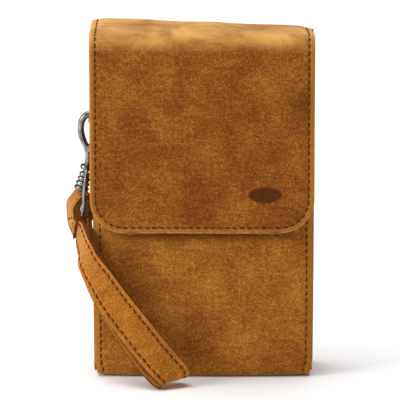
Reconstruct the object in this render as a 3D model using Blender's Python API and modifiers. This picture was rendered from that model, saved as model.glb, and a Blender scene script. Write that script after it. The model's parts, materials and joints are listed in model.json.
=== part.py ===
"""Wristlet wallet: a suede flap wallet with a snap hook and wrist strap on its left side.

Metres, +Z up, front towards -Y.  The origin is the centre of the flat underside.
"""
import math

import bmesh
import bpy
import numpy as np
from mathutils import Matrix, Vector

MM = 0.001
GAP = 0.3 * MM                     # clearance kept between touching pieces

# Driving dimensions of the body
WIDTH = 110.0 * MM                 # outside width over the turned-out side seams
DEPTH = 32.0 * MM                  # front to back
FRONT_TOP = 162.5 * MM             # upper edge of the front panel
BACK_TOP = 171.5 * MM              # upper edge of the back panel
SUEDE = 1.4 * MM                   # outer suede
LINING = 0.7 * MM                  # lining cloth
FOOT_RADIUS = 3.0 * MM             # rounding where the wrap turns under

# Side gussets: channels whose flanges are sewn between the panels' edges
GUSSET_THICKNESS = 1.1 * MM
GUSSET_TOP = 161.5 * MM
GUSSET_BOTTOM = 3.2 * MM
WEB_X = 47.0 * MM                  # outer face of the folded-in web
WEB_HALF_DEPTH = 10.5 * MM
FLANGE_X = 51.6 * MM               # where the flange leaves the panel

# Lining and card pockets
LINING_HALF_WIDTH = 44.8 * MM
LINING_HALF_DEPTH = 13.3 * MM
LINING_TOP = 160.5 * MM
POCKET_COUNT = 4
POCKET_THICKNESS = 0.8 * MM
POCKET_TOP = 132.0 * MM
POCKET_STEP = 10.0 * MM
POCKET_WIDTH = 86.0 * MM
POCKET_FOOT = 3.4 * MM
DIVIDER_Y = -1.6 * MM
DIVIDER_TOP = 146.0 * MM

# Flap
FLAP_WIDTH = 111.0 * MM
FLAP_FOOT = 74.6 * MM
FLAP_CORNER = 17.0 * MM
FLAP_Y = -19.9 * MM                # middle of the hanging flap's suede
FLAP_Z = 174.1 * MM                # middle of the top's suede
FOLD_CLEARANCE = 1.6 * MM          # from each fold's axis to the panels it joins
BACK_FOLD_Y = 15.3 * MM
FLAP_LINING = 0.6 * MM
EDGE_STITCH = 2.6 * MM             # stitch line to raw edge

# Magnetic snap under the flap
SNAP_Z = 90.0 * MM
SNAP_FLANGE = 7.0 * MM
SNAP_BOSS = 5.0 * MM
SNAP_HOLE = 2.4 * MM
SNAP_STUD = 2.0 * MM

# Thread
THREAD = 0.3 * MM

# Hardware chain on the left side; its middle plane is at CHAIN_Y
CHAIN_Y = -1.5 * MM
RING_BAR = Vector((-51.3 * MM, CHAIN_Y, 143.1 * MM))
RING_FOOT = Vector((-56.0 * MM, CHAIN_Y, 128.5 * MM))
RING_WIRE = 1.25 * MM
RING_HALF_WIDTH = 8.8 * MM
TAB_WIDTH = 13.5 * MM
TAB_THICKNESS = 1.2 * MM
TAB_TOP = 157.1 * MM
HOOK_WIRE = 1.65 * MM
HOOK_NECK = Vector((-58.1 * MM, CHAIN_Y, 104.5 * MM))
HOOK_END = Vector((-61.0 * MM, CHAIN_Y, 92.7 * MM))
COLLAR_LENGTH = 9.6 * MM
GATE_PIVOT = Vector((-56.0 * MM, CHAIN_Y, 114.5 * MM))
GATE_TIP = Vector((-51.1 * MM, CHAIN_Y, 126.0 * MM))
GATE_WIRE = 0.8 * MM
PIN_RADIUS = 0.6 * MM
BAIL_BAR = Vector((-60.2 * MM, CHAIN_Y, 83.0 * MM))
BAIL_WIRE = 1.1 * MM
BAIL_HALF_WIDTH = 9.2 * MM

# Wrist strap: stations along the middle of the flattened loop, each a place, the direction
# across the strap there and half the distance between its two legs, in millimetres
STRAP_WIDTH = 17.0 * MM
STRAP_NECK_WIDTH = 15.0 * MM       # where it goes through the bail
STRAP_NECK_STATIONS = (6, 9)       # the stations between which it widens
STRAP_THICKNESS = 2.4 * MM
STRAP_STATIONS = (
    ((-60.6, -1.5, 90.9), (0.0, -1.0, 0.0), 0.0),
    ((-60.6, -1.5, 90.0), (0.0, -1.0, 0.0), 2.3),
    ((-60.4, -1.5, 87.3), (0.03, -1.0, 0.0), 3.7),
    ((-60.5, -1.6, 84.2), (0.01, -1.0, 0.0), 4.1),
    ((-60.8, -2.1, 80.5), (0.11, -1.0, 0.04), 3.7),
    ((-61.2, -3.4, 77.2), (0.3, -1.0, 0.12), 2.6),
    ((-61.9, -5.9, 73.9), (0.4, -1.0, 0.2), 1.8),
    ((-62.3, -9.6, 70.7), (0.5, -1.0, 0.28), 1.5),
    ((-61.4, -14.6, 66.9), (0.62, -1.0, 0.35), 1.5),
    ((-57.6, -20.2, 61.4), (0.85, -0.9, 0.5), 1.5),
    ((-51.2, -23.6, 53.4), (1.0, -0.55, 0.65), 1.7),
    ((-43.4, -26.8, 41.6), (1.0, -0.2, 0.68), 1.9),
    ((-33.6, -30.4, 28.4), (1.0, 0.05, 0.63), 2.2),
    ((-24.4, -33.2, 16.2), (1.0, 0.25, 0.52), 2.6),
    ((-18.2, -34.9, 8.4), (1.0, 0.42, 0.33), 2.8),
    ((-15.6, -35.7, 5.5), (1.0, 0.52, 0.2), 2.0),
    ((-14.8, -36.0, 4.8), (1.0, 0.56, 0.14), 0.0),
)
STRAP_STEPS = 3                    # sections made between two stations
STRAP_STITCH = 2.6 * MM            # stitch line to the strap's edge

COLOURS = {
    "suede": ((0.38, 0.13, 0.025), 0.95, 0.0),
    "strap": ((0.47, 0.16, 0.025), 0.9, 0.0),
    "lining": ((0.16, 0.08, 0.035), 0.9, 0.0),
    "thread": ((0.06, 0.015, 0.005), 0.7, 0.0),
    "gunmetal": ((0.22, 0.23, 0.22), 0.3, 1.0),
}


def clear_scene():
    for thing in list(bpy.data.objects):
        bpy.data.objects.remove(thing, do_unlink=True)


def new_collection(name):
    group = bpy.data.collections.new(name)
    bpy.context.scene.collection.children.link(group)
    return group


def finish_material(thing, colour):
    rgb, roughness, metallic = COLOURS[colour]
    finish = bpy.data.materials.new(thing.name)
    finish.use_nodes = True
    shader = finish.node_tree.nodes["Principled BSDF"]
    shader.inputs["Base Color"].default_value = (*rgb, 1.0)
    shader.inputs["Roughness"].default_value = roughness
    shader.inputs["Metallic"].default_value = metallic
    thing.data.materials.clear()
    thing.data.materials.append(finish)


def link(name, data, group, colour=None):
    thing = bpy.data.objects.new(name, data)
    group.objects.link(thing)
    if colour:
        finish_material(thing, colour)
    return thing


def mesh_object(name, shape, group, colour=None):
    mesh = bpy.data.meshes.new(name)
    bmesh.ops.recalc_face_normals(shape, faces=shape.faces)
    shape.to_mesh(mesh)
    shape.free()
    return link(name, mesh, group, colour)


def box(name, low, high, group, colour=None):
    """A block between two corners."""
    shape = bmesh.new()
    bmesh.ops.create_cube(shape, size=1.0)
    low, high = Vector(low), Vector(high)
    bmesh.ops.scale(shape, vec=high - low, verts=shape.verts)
    bmesh.ops.translate(shape, vec=(low + high) / 2, verts=shape.verts)
    return mesh_object(name, shape, group, colour)


def rod(name, start, end, radius, group, colour=None, sides=20):
    """A round bar between two points."""
    start, end = Vector(start), Vector(end)
    shape = bmesh.new()
    turn = (end - start).to_track_quat("Z", "Y").to_matrix().to_4x4()
    bmesh.ops.create_cone(
        shape, cap_ends=True, segments=sides, radius1=radius, radius2=radius,
        depth=(end - start).length, matrix=Matrix.Translation((start + end) / 2) @ turn,
    )
    return mesh_object(name, shape, group, colour)


def solidify(thing, thickness, offset):
    shell = thing.modifiers.new("Thickness", "SOLIDIFY")
    shell.thickness = thickness
    shell.offset = offset
    shell.use_even_offset = True
    return shell


def swept_sheet(name, profile, direction, thickness, group, colour, offset=0.0):
    """An open profile of points drawn along a straight direction, then thickened."""
    shape = bmesh.new()
    row = [shape.verts.new(point) for point in profile]
    edges = [shape.edges.new(pair) for pair in zip(row, row[1:])]
    swept = bmesh.ops.extrude_edge_only(shape, edges=edges)
    moved = [item for item in swept["geom"] if isinstance(item, bmesh.types.BMVert)]
    bmesh.ops.translate(shape, vec=direction, verts=moved)
    sheet = mesh_object(name, shape, group, colour)
    solidify(sheet, thickness, offset)
    return sheet


def wire(name, points, radius, group, colour, cyclic=False, resolution=2):
    """A round wire through points, with filled ends."""
    data = bpy.data.curves.new(name, "CURVE")
    data.dimensions = "3D"
    data.bevel_depth = radius
    data.bevel_resolution = resolution
    data.use_fill_caps = True
    line = data.splines.new("POLY")
    line.points.add(len(points) - 1)
    for place, point in zip(line.points, points):
        place.co = (*point, 1.0)
    line.use_cyclic_u = cyclic
    return link(name, data, group, colour)


def to_mesh(curve, group, colour=None):
    """Turns a curve object into a welded mesh object with the same name."""
    name = curve.name
    bpy.context.view_layer.update()
    evaluated = curve.evaluated_get(bpy.context.evaluated_depsgraph_get())
    mesh = bpy.data.meshes.new_from_object(evaluated)
    shape = bmesh.new()
    shape.from_mesh(mesh)
    bmesh.ops.remove_doubles(shape, verts=shape.verts, dist=0.001 * MM)
    bmesh.ops.recalc_face_normals(shape, faces=shape.faces)
    shape.to_mesh(mesh)
    shape.free()
    place = curve.matrix_world.copy()
    bpy.data.objects.remove(curve, do_unlink=True)
    thing = link(name, mesh, group, colour)
    thing.matrix_world = place
    return thing


def boolean(thing, tool, operation):
    step = thing.modifiers.new(operation.title(), "BOOLEAN")
    step.operation = operation
    step.object = tool
    step.solver = "EXACT"
    tool.hide_render = True
    tool.display_type = "WIRE"


def smooth_path(points, steps, cyclic=False):
    """Catmull-Rom points through the given ones."""
    points = [np.array(point, float) for point in points]
    count = len(points)
    spans = count if cyclic else count - 1
    result = []
    for index in range(spans):
        if cyclic:
            around = [points[(index + shift) % count] for shift in (-1, 0, 1, 2)]
        else:
            around = [points[min(max(index + shift, 0), count - 1)] for shift in (-1, 0, 1, 2)]
        before, start, end, after = around
        for step in range(steps):
            t = step / steps
            result.append(0.5 * (
                2 * start + (end - before) * t
                + (2 * before - 5 * start + 4 * end - after) * t ** 2
                + (3 * start - before - 3 * end + after) * t ** 3
            ))
    if not cyclic:
        result.append(points[-1])
    return result


def arc(centre, radius, start, end, count):
    """Points of a circular arc as (across, up) pairs, angles in degrees."""
    angles = np.radians(np.linspace(start, end, count))
    return [(centre[0] + radius * math.cos(a), centre[1] + radius * math.sin(a)) for a in angles]


def make_body_wrap(group, cutters):
    """One piece of suede: front panel, underside and back panel."""
    half = DEPTH / 2
    corner = FOOT_RADIUS
    outline = [(-half, FRONT_TOP)]
    outline += arc((-half + corner, corner), corner, 180, 270, 5)
    outline += arc((half - corner, corner), corner, 270, 360, 5)
    outline.append((half, BACK_TOP))
    profile = [(-WIDTH / 2, y, z) for y, z in outline]
    wrap = swept_sheet("body_wrap", profile, (WIDTH, 0, 0), SUEDE, group, "suede", offset=-1.0)
    hole = rod("snap_socket_hole", (0, -half - MM, SNAP_Z), (0, -half + 2 * SUEDE, SNAP_Z),
               SNAP_BOSS + GAP, cutters, sides=24)
    boolean(wrap, hole, "DIFFERENCE")


def make_gussets(group):
    """The folded-in sides, flanges turned out between the panels' edges."""
    flange_y = DEPTH / 2 - SUEDE - GAP - GUSSET_THICKNESS / 2
    web = WEB_X - GUSSET_THICKNESS / 2
    half = [(WIDTH / 2, -flange_y), (FLANGE_X, -flange_y), (web, -WEB_HALF_DEPTH)]
    outline = half + [(x, -y) for x, y in reversed(half)]
    for name, side in (("left_gusset", -1), ("right_gusset", 1)):
        profile = [(side * x, y, GUSSET_BOTTOM) for x, y in outline]
        swept_sheet(name, profile, (0, 0, GUSSET_TOP - GUSSET_BOTTOM), GUSSET_THICKNESS,
                    group, "suede")


def make_lining(group):
    """The lining bag, a box open at the top."""
    floor = SUEDE + GAP
    shape = bmesh.new()
    bmesh.ops.create_cube(shape, size=1.0)
    size = Vector((2 * LINING_HALF_WIDTH, 2 * LINING_HALF_DEPTH, LINING_TOP - floor))
    bmesh.ops.scale(shape, vec=size, verts=shape.verts)
    bmesh.ops.translate(shape, vec=(0, 0, (LINING_TOP + floor) / 2), verts=shape.verts)
    top = [face for face in shape.faces if face.normal.z > 0.5]
    bmesh.ops.delete(shape, geom=top, context="FACES_ONLY")
    bag = mesh_object("lining_bag", shape, group, "lining")
    solidify(bag, LINING, -1.0)


def make_pockets(group):
    """Stepped card pockets on the back lining, and the panel that divides the inside."""
    back = LINING_HALF_DEPTH - LINING - GAP
    for index in range(POCKET_COUNT):
        rear = back - index * (POCKET_THICKNESS + GAP)
        top = POCKET_TOP - index * POCKET_STEP
        box(f"card_pocket_{index + 1}", (-POCKET_WIDTH / 2, rear - POCKET_THICKNESS, POCKET_FOOT),
            (POCKET_WIDTH / 2, rear, top), group, "lining")
    box("divider_panel", (-POCKET_WIDTH / 2, DIVIDER_Y, POCKET_FOOT),
        (POCKET_WIDTH / 2, DIVIDER_Y + LINING, DIVIDER_TOP), group, "lining")


def turned(name, profile, centre, group, colour, sides=24):
    """A profile of (radius, distance) turned about an axis that points to +Y at the centre."""
    mesh = bpy.data.meshes.new(name)
    points = [(radius, 0.0, distance) for radius, distance in profile]
    mesh.from_pydata(points, [(i, i + 1) for i in range(len(points) - 1)], [])
    thing = link(name, mesh, group, colour)
    turn = thing.modifiers.new("Turn", "SCREW")
    turn.steps = turn.render_steps = sides
    turn.use_merge_vertices = True
    turn.merge_threshold = 0.001 * MM
    thing.rotation_euler = (math.radians(-90), 0, 0)
    thing.location = centre
    return thing


def make_snap(group):
    """Magnetic snap: socket through the front panel with its washer, stud on the flap lining."""
    front = -DEPTH / 2
    face = front - GAP - 0.6 * MM
    rear = front + SUEDE + 0.2 * MM
    depth = rear - face
    floor = depth - 0.4 * MM
    rim = 0.6 * MM
    socket = [
        (0.0, depth), (SNAP_BOSS, depth), (SNAP_BOSS, rim), (SNAP_FLANGE, rim),
        (SNAP_FLANGE, 0.0), (SNAP_HOLE, 0.0), (SNAP_HOLE, floor), (0.0, floor),
    ]
    turned("snap_socket", socket, (0, face, SNAP_Z), group, "gunmetal")
    washer_y = front + SUEDE + 0.5 * MM
    washer = [(SNAP_BOSS + 2 * MM, 0.5 * MM), (SNAP_BOSS + 2 * MM, 0.0), (1.5 * MM, 0.0),
              (1.5 * MM, 0.5 * MM), (SNAP_BOSS + 2 * MM, 0.5 * MM)]
    turned("snap_socket_washer", washer, (0, washer_y, SNAP_Z), group, "gunmetal")
    plate = FLAP_Y + SUEDE / 2 + 2 * GAP + FLAP_LINING
    plate_depth = face - GAP - plate
    reach = plate_depth + GAP + floor - 0.5 * MM
    stud = [(0.0, reach), (SNAP_STUD, reach), (SNAP_STUD, plate_depth),
            (SNAP_FLANGE, plate_depth), (SNAP_FLANGE, 0.0), (0.0, 0.0)]
    turned("snap_stud", stud, (0, plate, SNAP_Z), group, "gunmetal")


def flat_panel(name, outline, thickness, y, group, colour):
    """A flat outline of (x, z) points standing across the depth at y."""
    data = bpy.data.curves.new(name, "CURVE")
    data.dimensions = "2D"
    data.fill_mode = "BOTH"
    data.extrude = thickness / 2
    line = data.splines.new("POLY")
    line.points.add(len(outline) - 1)
    for place, (x, z) in zip(line.points, outline):
        place.co = (x, z, 0.0, 1.0)
    line.use_cyclic_u = True
    panel = link(name, data, group, colour)
    panel.rotation_euler = (math.radians(90), 0, 0)
    panel.location = (0, y, 0)
    return panel


def flap_outline(inset, top):
    """The hanging flap's outline: straight top, rounded lower corners."""
    half = FLAP_WIDTH / 2 - inset
    radius = FLAP_CORNER - inset
    foot = FLAP_FOOT + inset
    outline = [(-half, top)]
    outline += arc((-half + radius, foot + radius), radius, 180, 270, 8)
    outline += arc((half - radius, foot + radius), radius, 270, 360, 8)
    outline.append((half, top))
    return outline


def make_flap(group):
    """The flap in two lengths, one over the top and one hanging in front, each lined."""
    half = FLAP_WIDTH / 2
    top_front = FLAP_Y + FOLD_CLEARANCE
    top_back = BACK_FOLD_Y - FOLD_CLEARANCE
    box("flap_top", (-half, top_front, FLAP_Z - SUEDE / 2), (half, top_back, FLAP_Z + SUEDE / 2),
        group, "suede")
    lining_top = FLAP_Z - SUEDE / 2 - GAP
    inset = 1.5 * MM
    box("flap_top_lining", (-half + inset, top_front + inset, lining_top - FLAP_LINING),
        (half - inset, top_back - inset, lining_top), group, "lining")
    hang_top = FLAP_Z - FOLD_CLEARANCE
    flat_panel("flap_front", flap_outline(0.0, hang_top), SUEDE, FLAP_Y, group, "suede")
    lining_y = FLAP_Y + SUEDE / 2 + GAP + FLAP_LINING / 2
    flat_panel("flap_front_lining", flap_outline(inset, hang_top - 2 * inset), FLAP_LINING,
               lining_y, group, "lining")
    thread_y = FLAP_Y - SUEDE / 2 - GAP - THREAD
    line = flap_outline(EDGE_STITCH, hang_top - MM)
    wire("flap_stitching", [(x, thread_y, z) for x, z in line], THREAD, group, "thread",
         resolution=1)


def make_seam_stitching(group):
    """The thread lines that hold panels and gussets together, two in front and two behind."""
    x = WIDTH / 2 - EDGE_STITCH
    off = DEPTH / 2 + GAP + THREAD
    for side_name, side in (("left", -1), ("right", 1)):
        for face_name, face, top in (("front", -1, FRONT_TOP), ("back", 1, BACK_TOP)):
            points = [(side * x, face * off, z) for z in np.linspace(4 * MM, top - 2 * MM, 6)]
            wire(f"{side_name}_{face_name}_stitching", points, THREAD, group, "thread",
                 resolution=1)


def make_ring_tab(group):
    """A suede tab folded round the ring's bar, both ends sewn to the left gusset."""
    inner_x = -WEB_X - GAP - TAB_THICKNESS / 2
    outer_x = inner_x - TAB_THICKNESS - GAP
    reach = RING_WIRE + GAP + TAB_THICKNESS / 2
    round_bar = arc((RING_BAR.x, RING_BAR.z), reach, 20, -205, 10)
    outline = [(inner_x, TAB_TOP), (inner_x, RING_BAR.z + 4 * MM)]
    outline += round_bar
    outline += [(outer_x, RING_BAR.z + 6.2 * MM), (outer_x, TAB_TOP)]
    low_y = CHAIN_Y - TAB_WIDTH / 2
    swept_sheet("ring_tab", [(x, low_y, z) for x, z in outline], (0, TAB_WIDTH, 0),
                TAB_THICKNESS, group, "suede")
    x = outer_x - TAB_THICKNESS / 2 - GAP - THREAD
    half = TAB_WIDTH / 2 - 2 * MM
    low, high = TAB_TOP - 7 * MM, TAB_TOP - 2 * MM
    corners = [(x, CHAIN_Y - half, low), (x, CHAIN_Y + half, low),
               (x, CHAIN_Y + half, high), (x, CHAIN_Y - half, high)]
    wire("tab_stitching", corners, THREAD, group, "thread", cyclic=True, resolution=1)


def make_d_ring(group):
    """A D of wire: a straight bar in the tab, a half-round foot that the hook hangs on."""
    down = RING_FOOT - RING_BAR
    drop = down.length
    down.normalize()
    corner = 2.5 * MM
    outline = arc((-RING_HALF_WIDTH + corner, -corner), corner, 180, 90, 4)
    outline += arc((RING_HALF_WIDTH - corner, -corner), corner, 90, 0, 4)
    foot = arc((0, 0), 1.0, 0, -180, 15)
    shoulder = drop - 7.0 * MM
    outline += [(a * RING_HALF_WIDTH, -shoulder + b * 7.0 * MM) for a, b in foot]
    points = [RING_BAR + Vector((0, across, 0)) - down * up for across, up in outline]
    wire("d_ring", points, RING_WIRE, group, "gunmetal", cyclic=True, resolution=2)


def make_collar(cutters):
    """The ribbed cone at the end of the hook's shank, as a tool to be joined to it."""
    ribs = ((2.5, 1.0), (2.8, 3.4), (3.0, 5.8), (3.2, 8.2))
    profile = [(0.0, 0.0), (1.8 * MM, 0.0)]
    for radius, middle in ribs:
        groove = (radius - 0.6) * MM
        profile += [
            (groove, (middle - 0.9) * MM), (radius * MM, (middle - 0.45) * MM),
            (radius * MM, (middle + 0.45) * MM), (groove, (middle + 0.9) * MM),
        ]
    profile += [(2.3 * MM, COLLAR_LENGTH), (0.0, COLLAR_LENGTH)]
    mesh = bpy.data.meshes.new("collar_form")
    points = [(radius, 0.0, -distance) for radius, distance in profile]
    mesh.from_pydata(points, [(i, i + 1) for i in range(len(points) - 1)], [])
    collar = link("collar_form", mesh, cutters)
    turn = collar.modifiers.new("Turn", "SCREW")
    turn.steps = turn.render_steps = 20
    turn.use_merge_vertices = True
    turn.merge_threshold = 0.001 * MM
    axis = (HOOK_NECK - HOOK_END).normalized()
    collar.rotation_euler = axis.to_track_quat("Z", "Y").to_euler()
    collar.location = HOOK_END + axis * COLLAR_LENGTH
    return collar


def make_hook(group, cutters):
    """The snap hook: round hook, shank with a ribbed end, and a fork for the gate."""
    route = [
        (-51.0, 127.0), (-51.5, 129.4), (-53.2, 131.3), (-55.6, 132.0), (-58.3, 131.0),
        (-60.3, 128.3), (-60.9, 124.4), (-60.4, 120.7), (-59.2, 117.3), (-57.8, 114.3),
        (-57.2, 111.3), (-57.3, 108.3),
    ]
    points = [(x * MM, CHAIN_Y, z * MM) for x, z in route]
    points += [tuple(HOOK_NECK), tuple(HOOK_END + (HOOK_NECK - HOOK_END) * 0.5)]
    hook = to_mesh(wire("snap_hook", smooth_path(points, 2), HOOK_WIRE, group, None), group,
                   "gunmetal")
    lug = rod("gate_lug", GATE_PIVOT - Vector((0, 2.2 * MM, 0)), GATE_PIVOT + Vector((0, 2.2 * MM, 0)),
              1.9 * MM, cutters, sides=16)
    boolean(hook, lug, "UNION")
    boolean(hook, make_collar(cutters), "UNION")
    slot_low = GATE_PIVOT - Vector((1.7 * MM, 1.1 * MM, 2.3 * MM))
    slot_high = GATE_PIVOT + Vector((4.0 * MM, 1.1 * MM, 4.0 * MM))
    boolean(hook, box("gate_slot", slot_low, slot_high, cutters), "DIFFERENCE")
    bore = rod("pin_bore", GATE_PIVOT - Vector((0, 4 * MM, 0)), GATE_PIVOT + Vector((0, 4 * MM, 0)),
               PIN_RADIUS + 0.15 * MM, cutters, sides=12)
    boolean(hook, bore, "DIFFERENCE")


def make_gate(group, cutters):
    """The sprung gate that closes the hook, and the pin that it turns on."""
    along = (GATE_TIP - GATE_PIVOT).normalized()
    points = [GATE_PIVOT + along * 0.8 * MM, GATE_PIVOT + along * 5 * MM, GATE_TIP]
    gate = to_mesh(wire("hook_gate", points, GATE_WIRE, group, None), group, "gunmetal")
    eye = rod("gate_eye", GATE_PIVOT - Vector((0, 0.8 * MM, 0)), GATE_PIVOT + Vector((0, 0.8 * MM, 0)),
              1.4 * MM, cutters, sides=16)
    boolean(gate, eye, "UNION")
    bore = rod("gate_bore", GATE_PIVOT - Vector((0, 2 * MM, 0)), GATE_PIVOT + Vector((0, 2 * MM, 0)),
               PIN_RADIUS + 0.15 * MM, cutters, sides=12)
    boolean(gate, bore, "DIFFERENCE")
    rod("gate_pin", GATE_PIVOT - Vector((0, 2.4 * MM, 0)), GATE_PIVOT + Vector((0, 2.4 * MM, 0)),
        PIN_RADIUS, group, "gunmetal", sides=12)


def make_bail(group, cutters):
    """The swivelling stirrup: a hub round the hook's neck, two legs and the strap's bar."""
    axis = (HOOK_NECK - HOOK_END).normalized()
    half = [
        HOOK_NECK + Vector((0, -2.9 * MM, 0)),
        HOOK_NECK + Vector((0, -6.2 * MM, -0.6 * MM)),
        HOOK_NECK + Vector((-0.2 * MM, -BAIL_HALF_WIDTH + 0.6 * MM, -3.4 * MM)),
        HOOK_NECK + Vector((-0.9 * MM, -BAIL_HALF_WIDTH, -8.5 * MM)),
        BAIL_BAR + Vector((0.7 * MM, -BAIL_HALF_WIDTH, 5.0 * MM)),
        BAIL_BAR + Vector((0, -BAIL_HALF_WIDTH + 0.4 * MM, 0.8 * MM)),
        BAIL_BAR + Vector((0, -BAIL_HALF_WIDTH + 1.6 * MM, 0)),
    ]
    mirrored = [Vector((p.x, 2 * CHAIN_Y - p.y, p.z)) for p in reversed(half)]
    front_leg = smooth_path(half, 2)
    back_leg = smooth_path(mirrored, 2)
    bail = to_mesh(wire("bail", front_leg + back_leg, BAIL_WIRE, group, None), group, "gunmetal")
    hub_half = axis * 1.1 * MM
    hub = rod("bail_hub", HOOK_NECK - hub_half, HOOK_NECK + hub_half, 3.2 * MM, cutters)
    boolean(bail, hub, "UNION")
    bore = rod("bail_hub_bore", HOOK_NECK - axis * 3 * MM, HOOK_NECK + axis * 3 * MM,
               HOOK_WIRE + 0.3 * MM, cutters)
    boolean(bail, bore, "DIFFERENCE")


def unit(vector):
    return vector / np.linalg.norm(vector)


def strap_sections():
    """Middle, across-direction, outward normal and half width of each section of the loop."""
    places = [np.array(place) * MM for place, _, _ in STRAP_STATIONS]
    across = [unit(np.array(direction)) for _, direction, _ in STRAP_STATIONS]
    last = len(places) - 1
    first, full = STRAP_NECK_STATIONS
    widening = np.clip((np.arange(last + 1) - first) / (full - first), 0, 1)
    widths = list(STRAP_NECK_WIDTH + (STRAP_WIDTH - STRAP_NECK_WIDTH) * widening)
    front, rear = [], []
    for index, (_, _, half_gap) in enumerate(STRAP_STATIONS):
        along = places[min(index + 1, last)] - places[max(index - 1, 0)]
        outward = unit(np.cross(along, across[index])) * half_gap * MM
        front.append(places[index] + outward)
        rear.append(places[index] - outward)
    middles = smooth_path(front + rear[-2:0:-1], STRAP_STEPS, True)
    sides = smooth_path(across + across[-2:0:-1], STRAP_STEPS, True)
    widths = smooth_path(widths + widths[-2:0:-1], STRAP_STEPS, True)
    sections = []
    for index, middle in enumerate(middles):
        along = unit(middles[(index + 1) % len(middles)] - middles[index - 1])
        side = unit(sides[index] - along * (sides[index] @ along))
        sections.append((middle, side, np.cross(along, side), widths[index] / 2))
    return sections


def make_strap(group):
    """The two-ply wrist strap, one closed loop through the bail, and its edge stitching."""
    sections = strap_sections()
    shape = bmesh.new()
    rows = []
    for middle, side, _, half_width in sections:
        half = side * half_width
        rows.append([shape.verts.new(middle - half), shape.verts.new(middle + half)])
    for index, row in enumerate(rows):
        following = rows[(index + 1) % len(rows)]
        shape.faces.new((row[0], row[1], following[1], following[0]))
    strap = mesh_object("wrist_strap", shape, group, "strap")
    solidify(strap, STRAP_THICKNESS, 0.0).use_even_offset = False
    lift = STRAP_THICKNESS / 2 + 3 * GAP + THREAD
    for name, sign in (("strap_near_stitching", 1), ("strap_far_stitching", -1)):
        points = [middle + side * sign * (half_width - STRAP_STITCH) + outward * lift
                  for middle, side, outward, half_width in sections]
        wire(name, points, THREAD, group, "thread", cyclic=True, resolution=1)


def build():
    clear_scene()
    wallet = new_collection("wristlet_wallet")
    cutters = new_collection("wristlet_wallet_cutters")
    make_body_wrap(wallet, cutters)
    make_gussets(wallet)
    make_lining(wallet)
    make_pockets(wallet)
    make_snap(wallet)
    make_flap(wallet)
    make_seam_stitching(wallet)
    make_ring_tab(wallet)
    make_d_ring(wallet)
    make_hook(wallet, cutters)
    make_gate(wallet, cutters)
    make_bail(wallet, cutters)
    make_strap(wallet)


build()
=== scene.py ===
"""The looks of a suede wristlet wallet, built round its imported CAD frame.

Metres, +Z up, front towards -Y.  Sheets of suede are grids with real thickness and cut
edges, stitches are separate short lengths of thread, and metal parts are turned or drawn.
"""
import json
import math

import bmesh
import bpy
import numpy as np
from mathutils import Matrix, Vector, noise


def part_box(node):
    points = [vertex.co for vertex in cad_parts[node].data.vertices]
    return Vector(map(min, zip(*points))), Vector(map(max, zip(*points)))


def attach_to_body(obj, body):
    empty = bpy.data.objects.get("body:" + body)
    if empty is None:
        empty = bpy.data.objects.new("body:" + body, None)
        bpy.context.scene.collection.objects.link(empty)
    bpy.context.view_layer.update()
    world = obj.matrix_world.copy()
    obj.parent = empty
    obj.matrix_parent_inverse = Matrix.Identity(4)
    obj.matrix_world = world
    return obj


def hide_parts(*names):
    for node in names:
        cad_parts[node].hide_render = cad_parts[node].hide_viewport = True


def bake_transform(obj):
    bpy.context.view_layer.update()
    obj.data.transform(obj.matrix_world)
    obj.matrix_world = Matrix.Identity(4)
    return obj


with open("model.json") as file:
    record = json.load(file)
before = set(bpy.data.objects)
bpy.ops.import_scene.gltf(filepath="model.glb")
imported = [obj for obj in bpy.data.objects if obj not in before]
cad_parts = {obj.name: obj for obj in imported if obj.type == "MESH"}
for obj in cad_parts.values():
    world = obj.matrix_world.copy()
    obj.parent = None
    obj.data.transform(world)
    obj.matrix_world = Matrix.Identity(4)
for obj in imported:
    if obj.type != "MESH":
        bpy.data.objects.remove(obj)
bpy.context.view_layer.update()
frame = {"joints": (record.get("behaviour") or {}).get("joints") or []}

MM = 0.001
WRAP_LOW, WRAP_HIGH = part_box("body_wrap")
FLAP_LOW, FLAP_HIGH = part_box("flap_front")
RING_LOW, RING_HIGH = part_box("d_ring")
JOINT = {joint["name"]: joint for joint in frame["joints"]}

# Camera
VIEW_ELEVATION = 14.0              # degrees above the horizon
VIEW_DISTANCE = 2.5                # metres
VIEW_TARGET = (-1.5 * MM, -16.0 * MM, 91.3 * MM)
VIEW_FIELD = 198.8 * MM            # width seen at the target
SENSOR = 36.0

# Light
AMBIENT = 0.2                      # light from all round
BACKDROP = 1.0                     # brightness of the backdrop itself
OVERHEAD = 2.9                     # strength of the light from above
OVERHEAD_SPREAD = 50.0             # degrees
OVERHEAD_FROM = (-0.12, 0.1, 1.0)  # direction it comes from: a little left and behind
LIGHT_AIM = (0.0, 0.0, 0.09)       # the wallet's middle
SOFTBOX = ((-0.9, -0.35, 0.5), (0.5, 0.6), 7.0)    # place, size and watts
FILL = ((0.3, -1.3, 0.35), (0.9, 0.9), 1.5)        # place, size and watts
FLOOR_HALF = 3.0

# Sheets
SUEDE = 1.4 * MM
GUSSET = 1.1 * MM
CLOTH = 0.6 * MM
STITCH_INSET = 2.7 * MM            # stitch line to cut edge
GROOVE_DEPTH = 0.28 * MM
GROOVE_WIDTH = 0.85 * MM
UV_PER_METRE = 10.0

# Thread
STITCH_PITCH = 3.6 * MM
STITCH_LENGTH = 3.1 * MM
THREAD = 0.36 * MM

# Flap
FLAP_SHIFT = -0.45 * MM            # it hangs a little to the left
FLAP_CORNER = 17.0 * MM

# Pressed mark, a plain oval
MARK_X = 31.0 * MM
MARK_Z = 95.0 * MM
MARK_HALF = (8.6 * MM, 4.3 * MM)

# Painted shadow on the body: a dark band under the flap's foot
FLAP_SHADOW_DROP = 1.2 * MM
FLAP_SHADOW_HEIGHT = 3.0 * MM

# Gusset's plan: distances from the wallet's middle
GUSSET_WEB = 47.0 * MM
GUSSET_SHOULDER = 48.6 * MM
GUSSET_TURN = 51.2 * MM
GUSSET_FLAT = 52.6 * MM            # the flange begins

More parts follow.
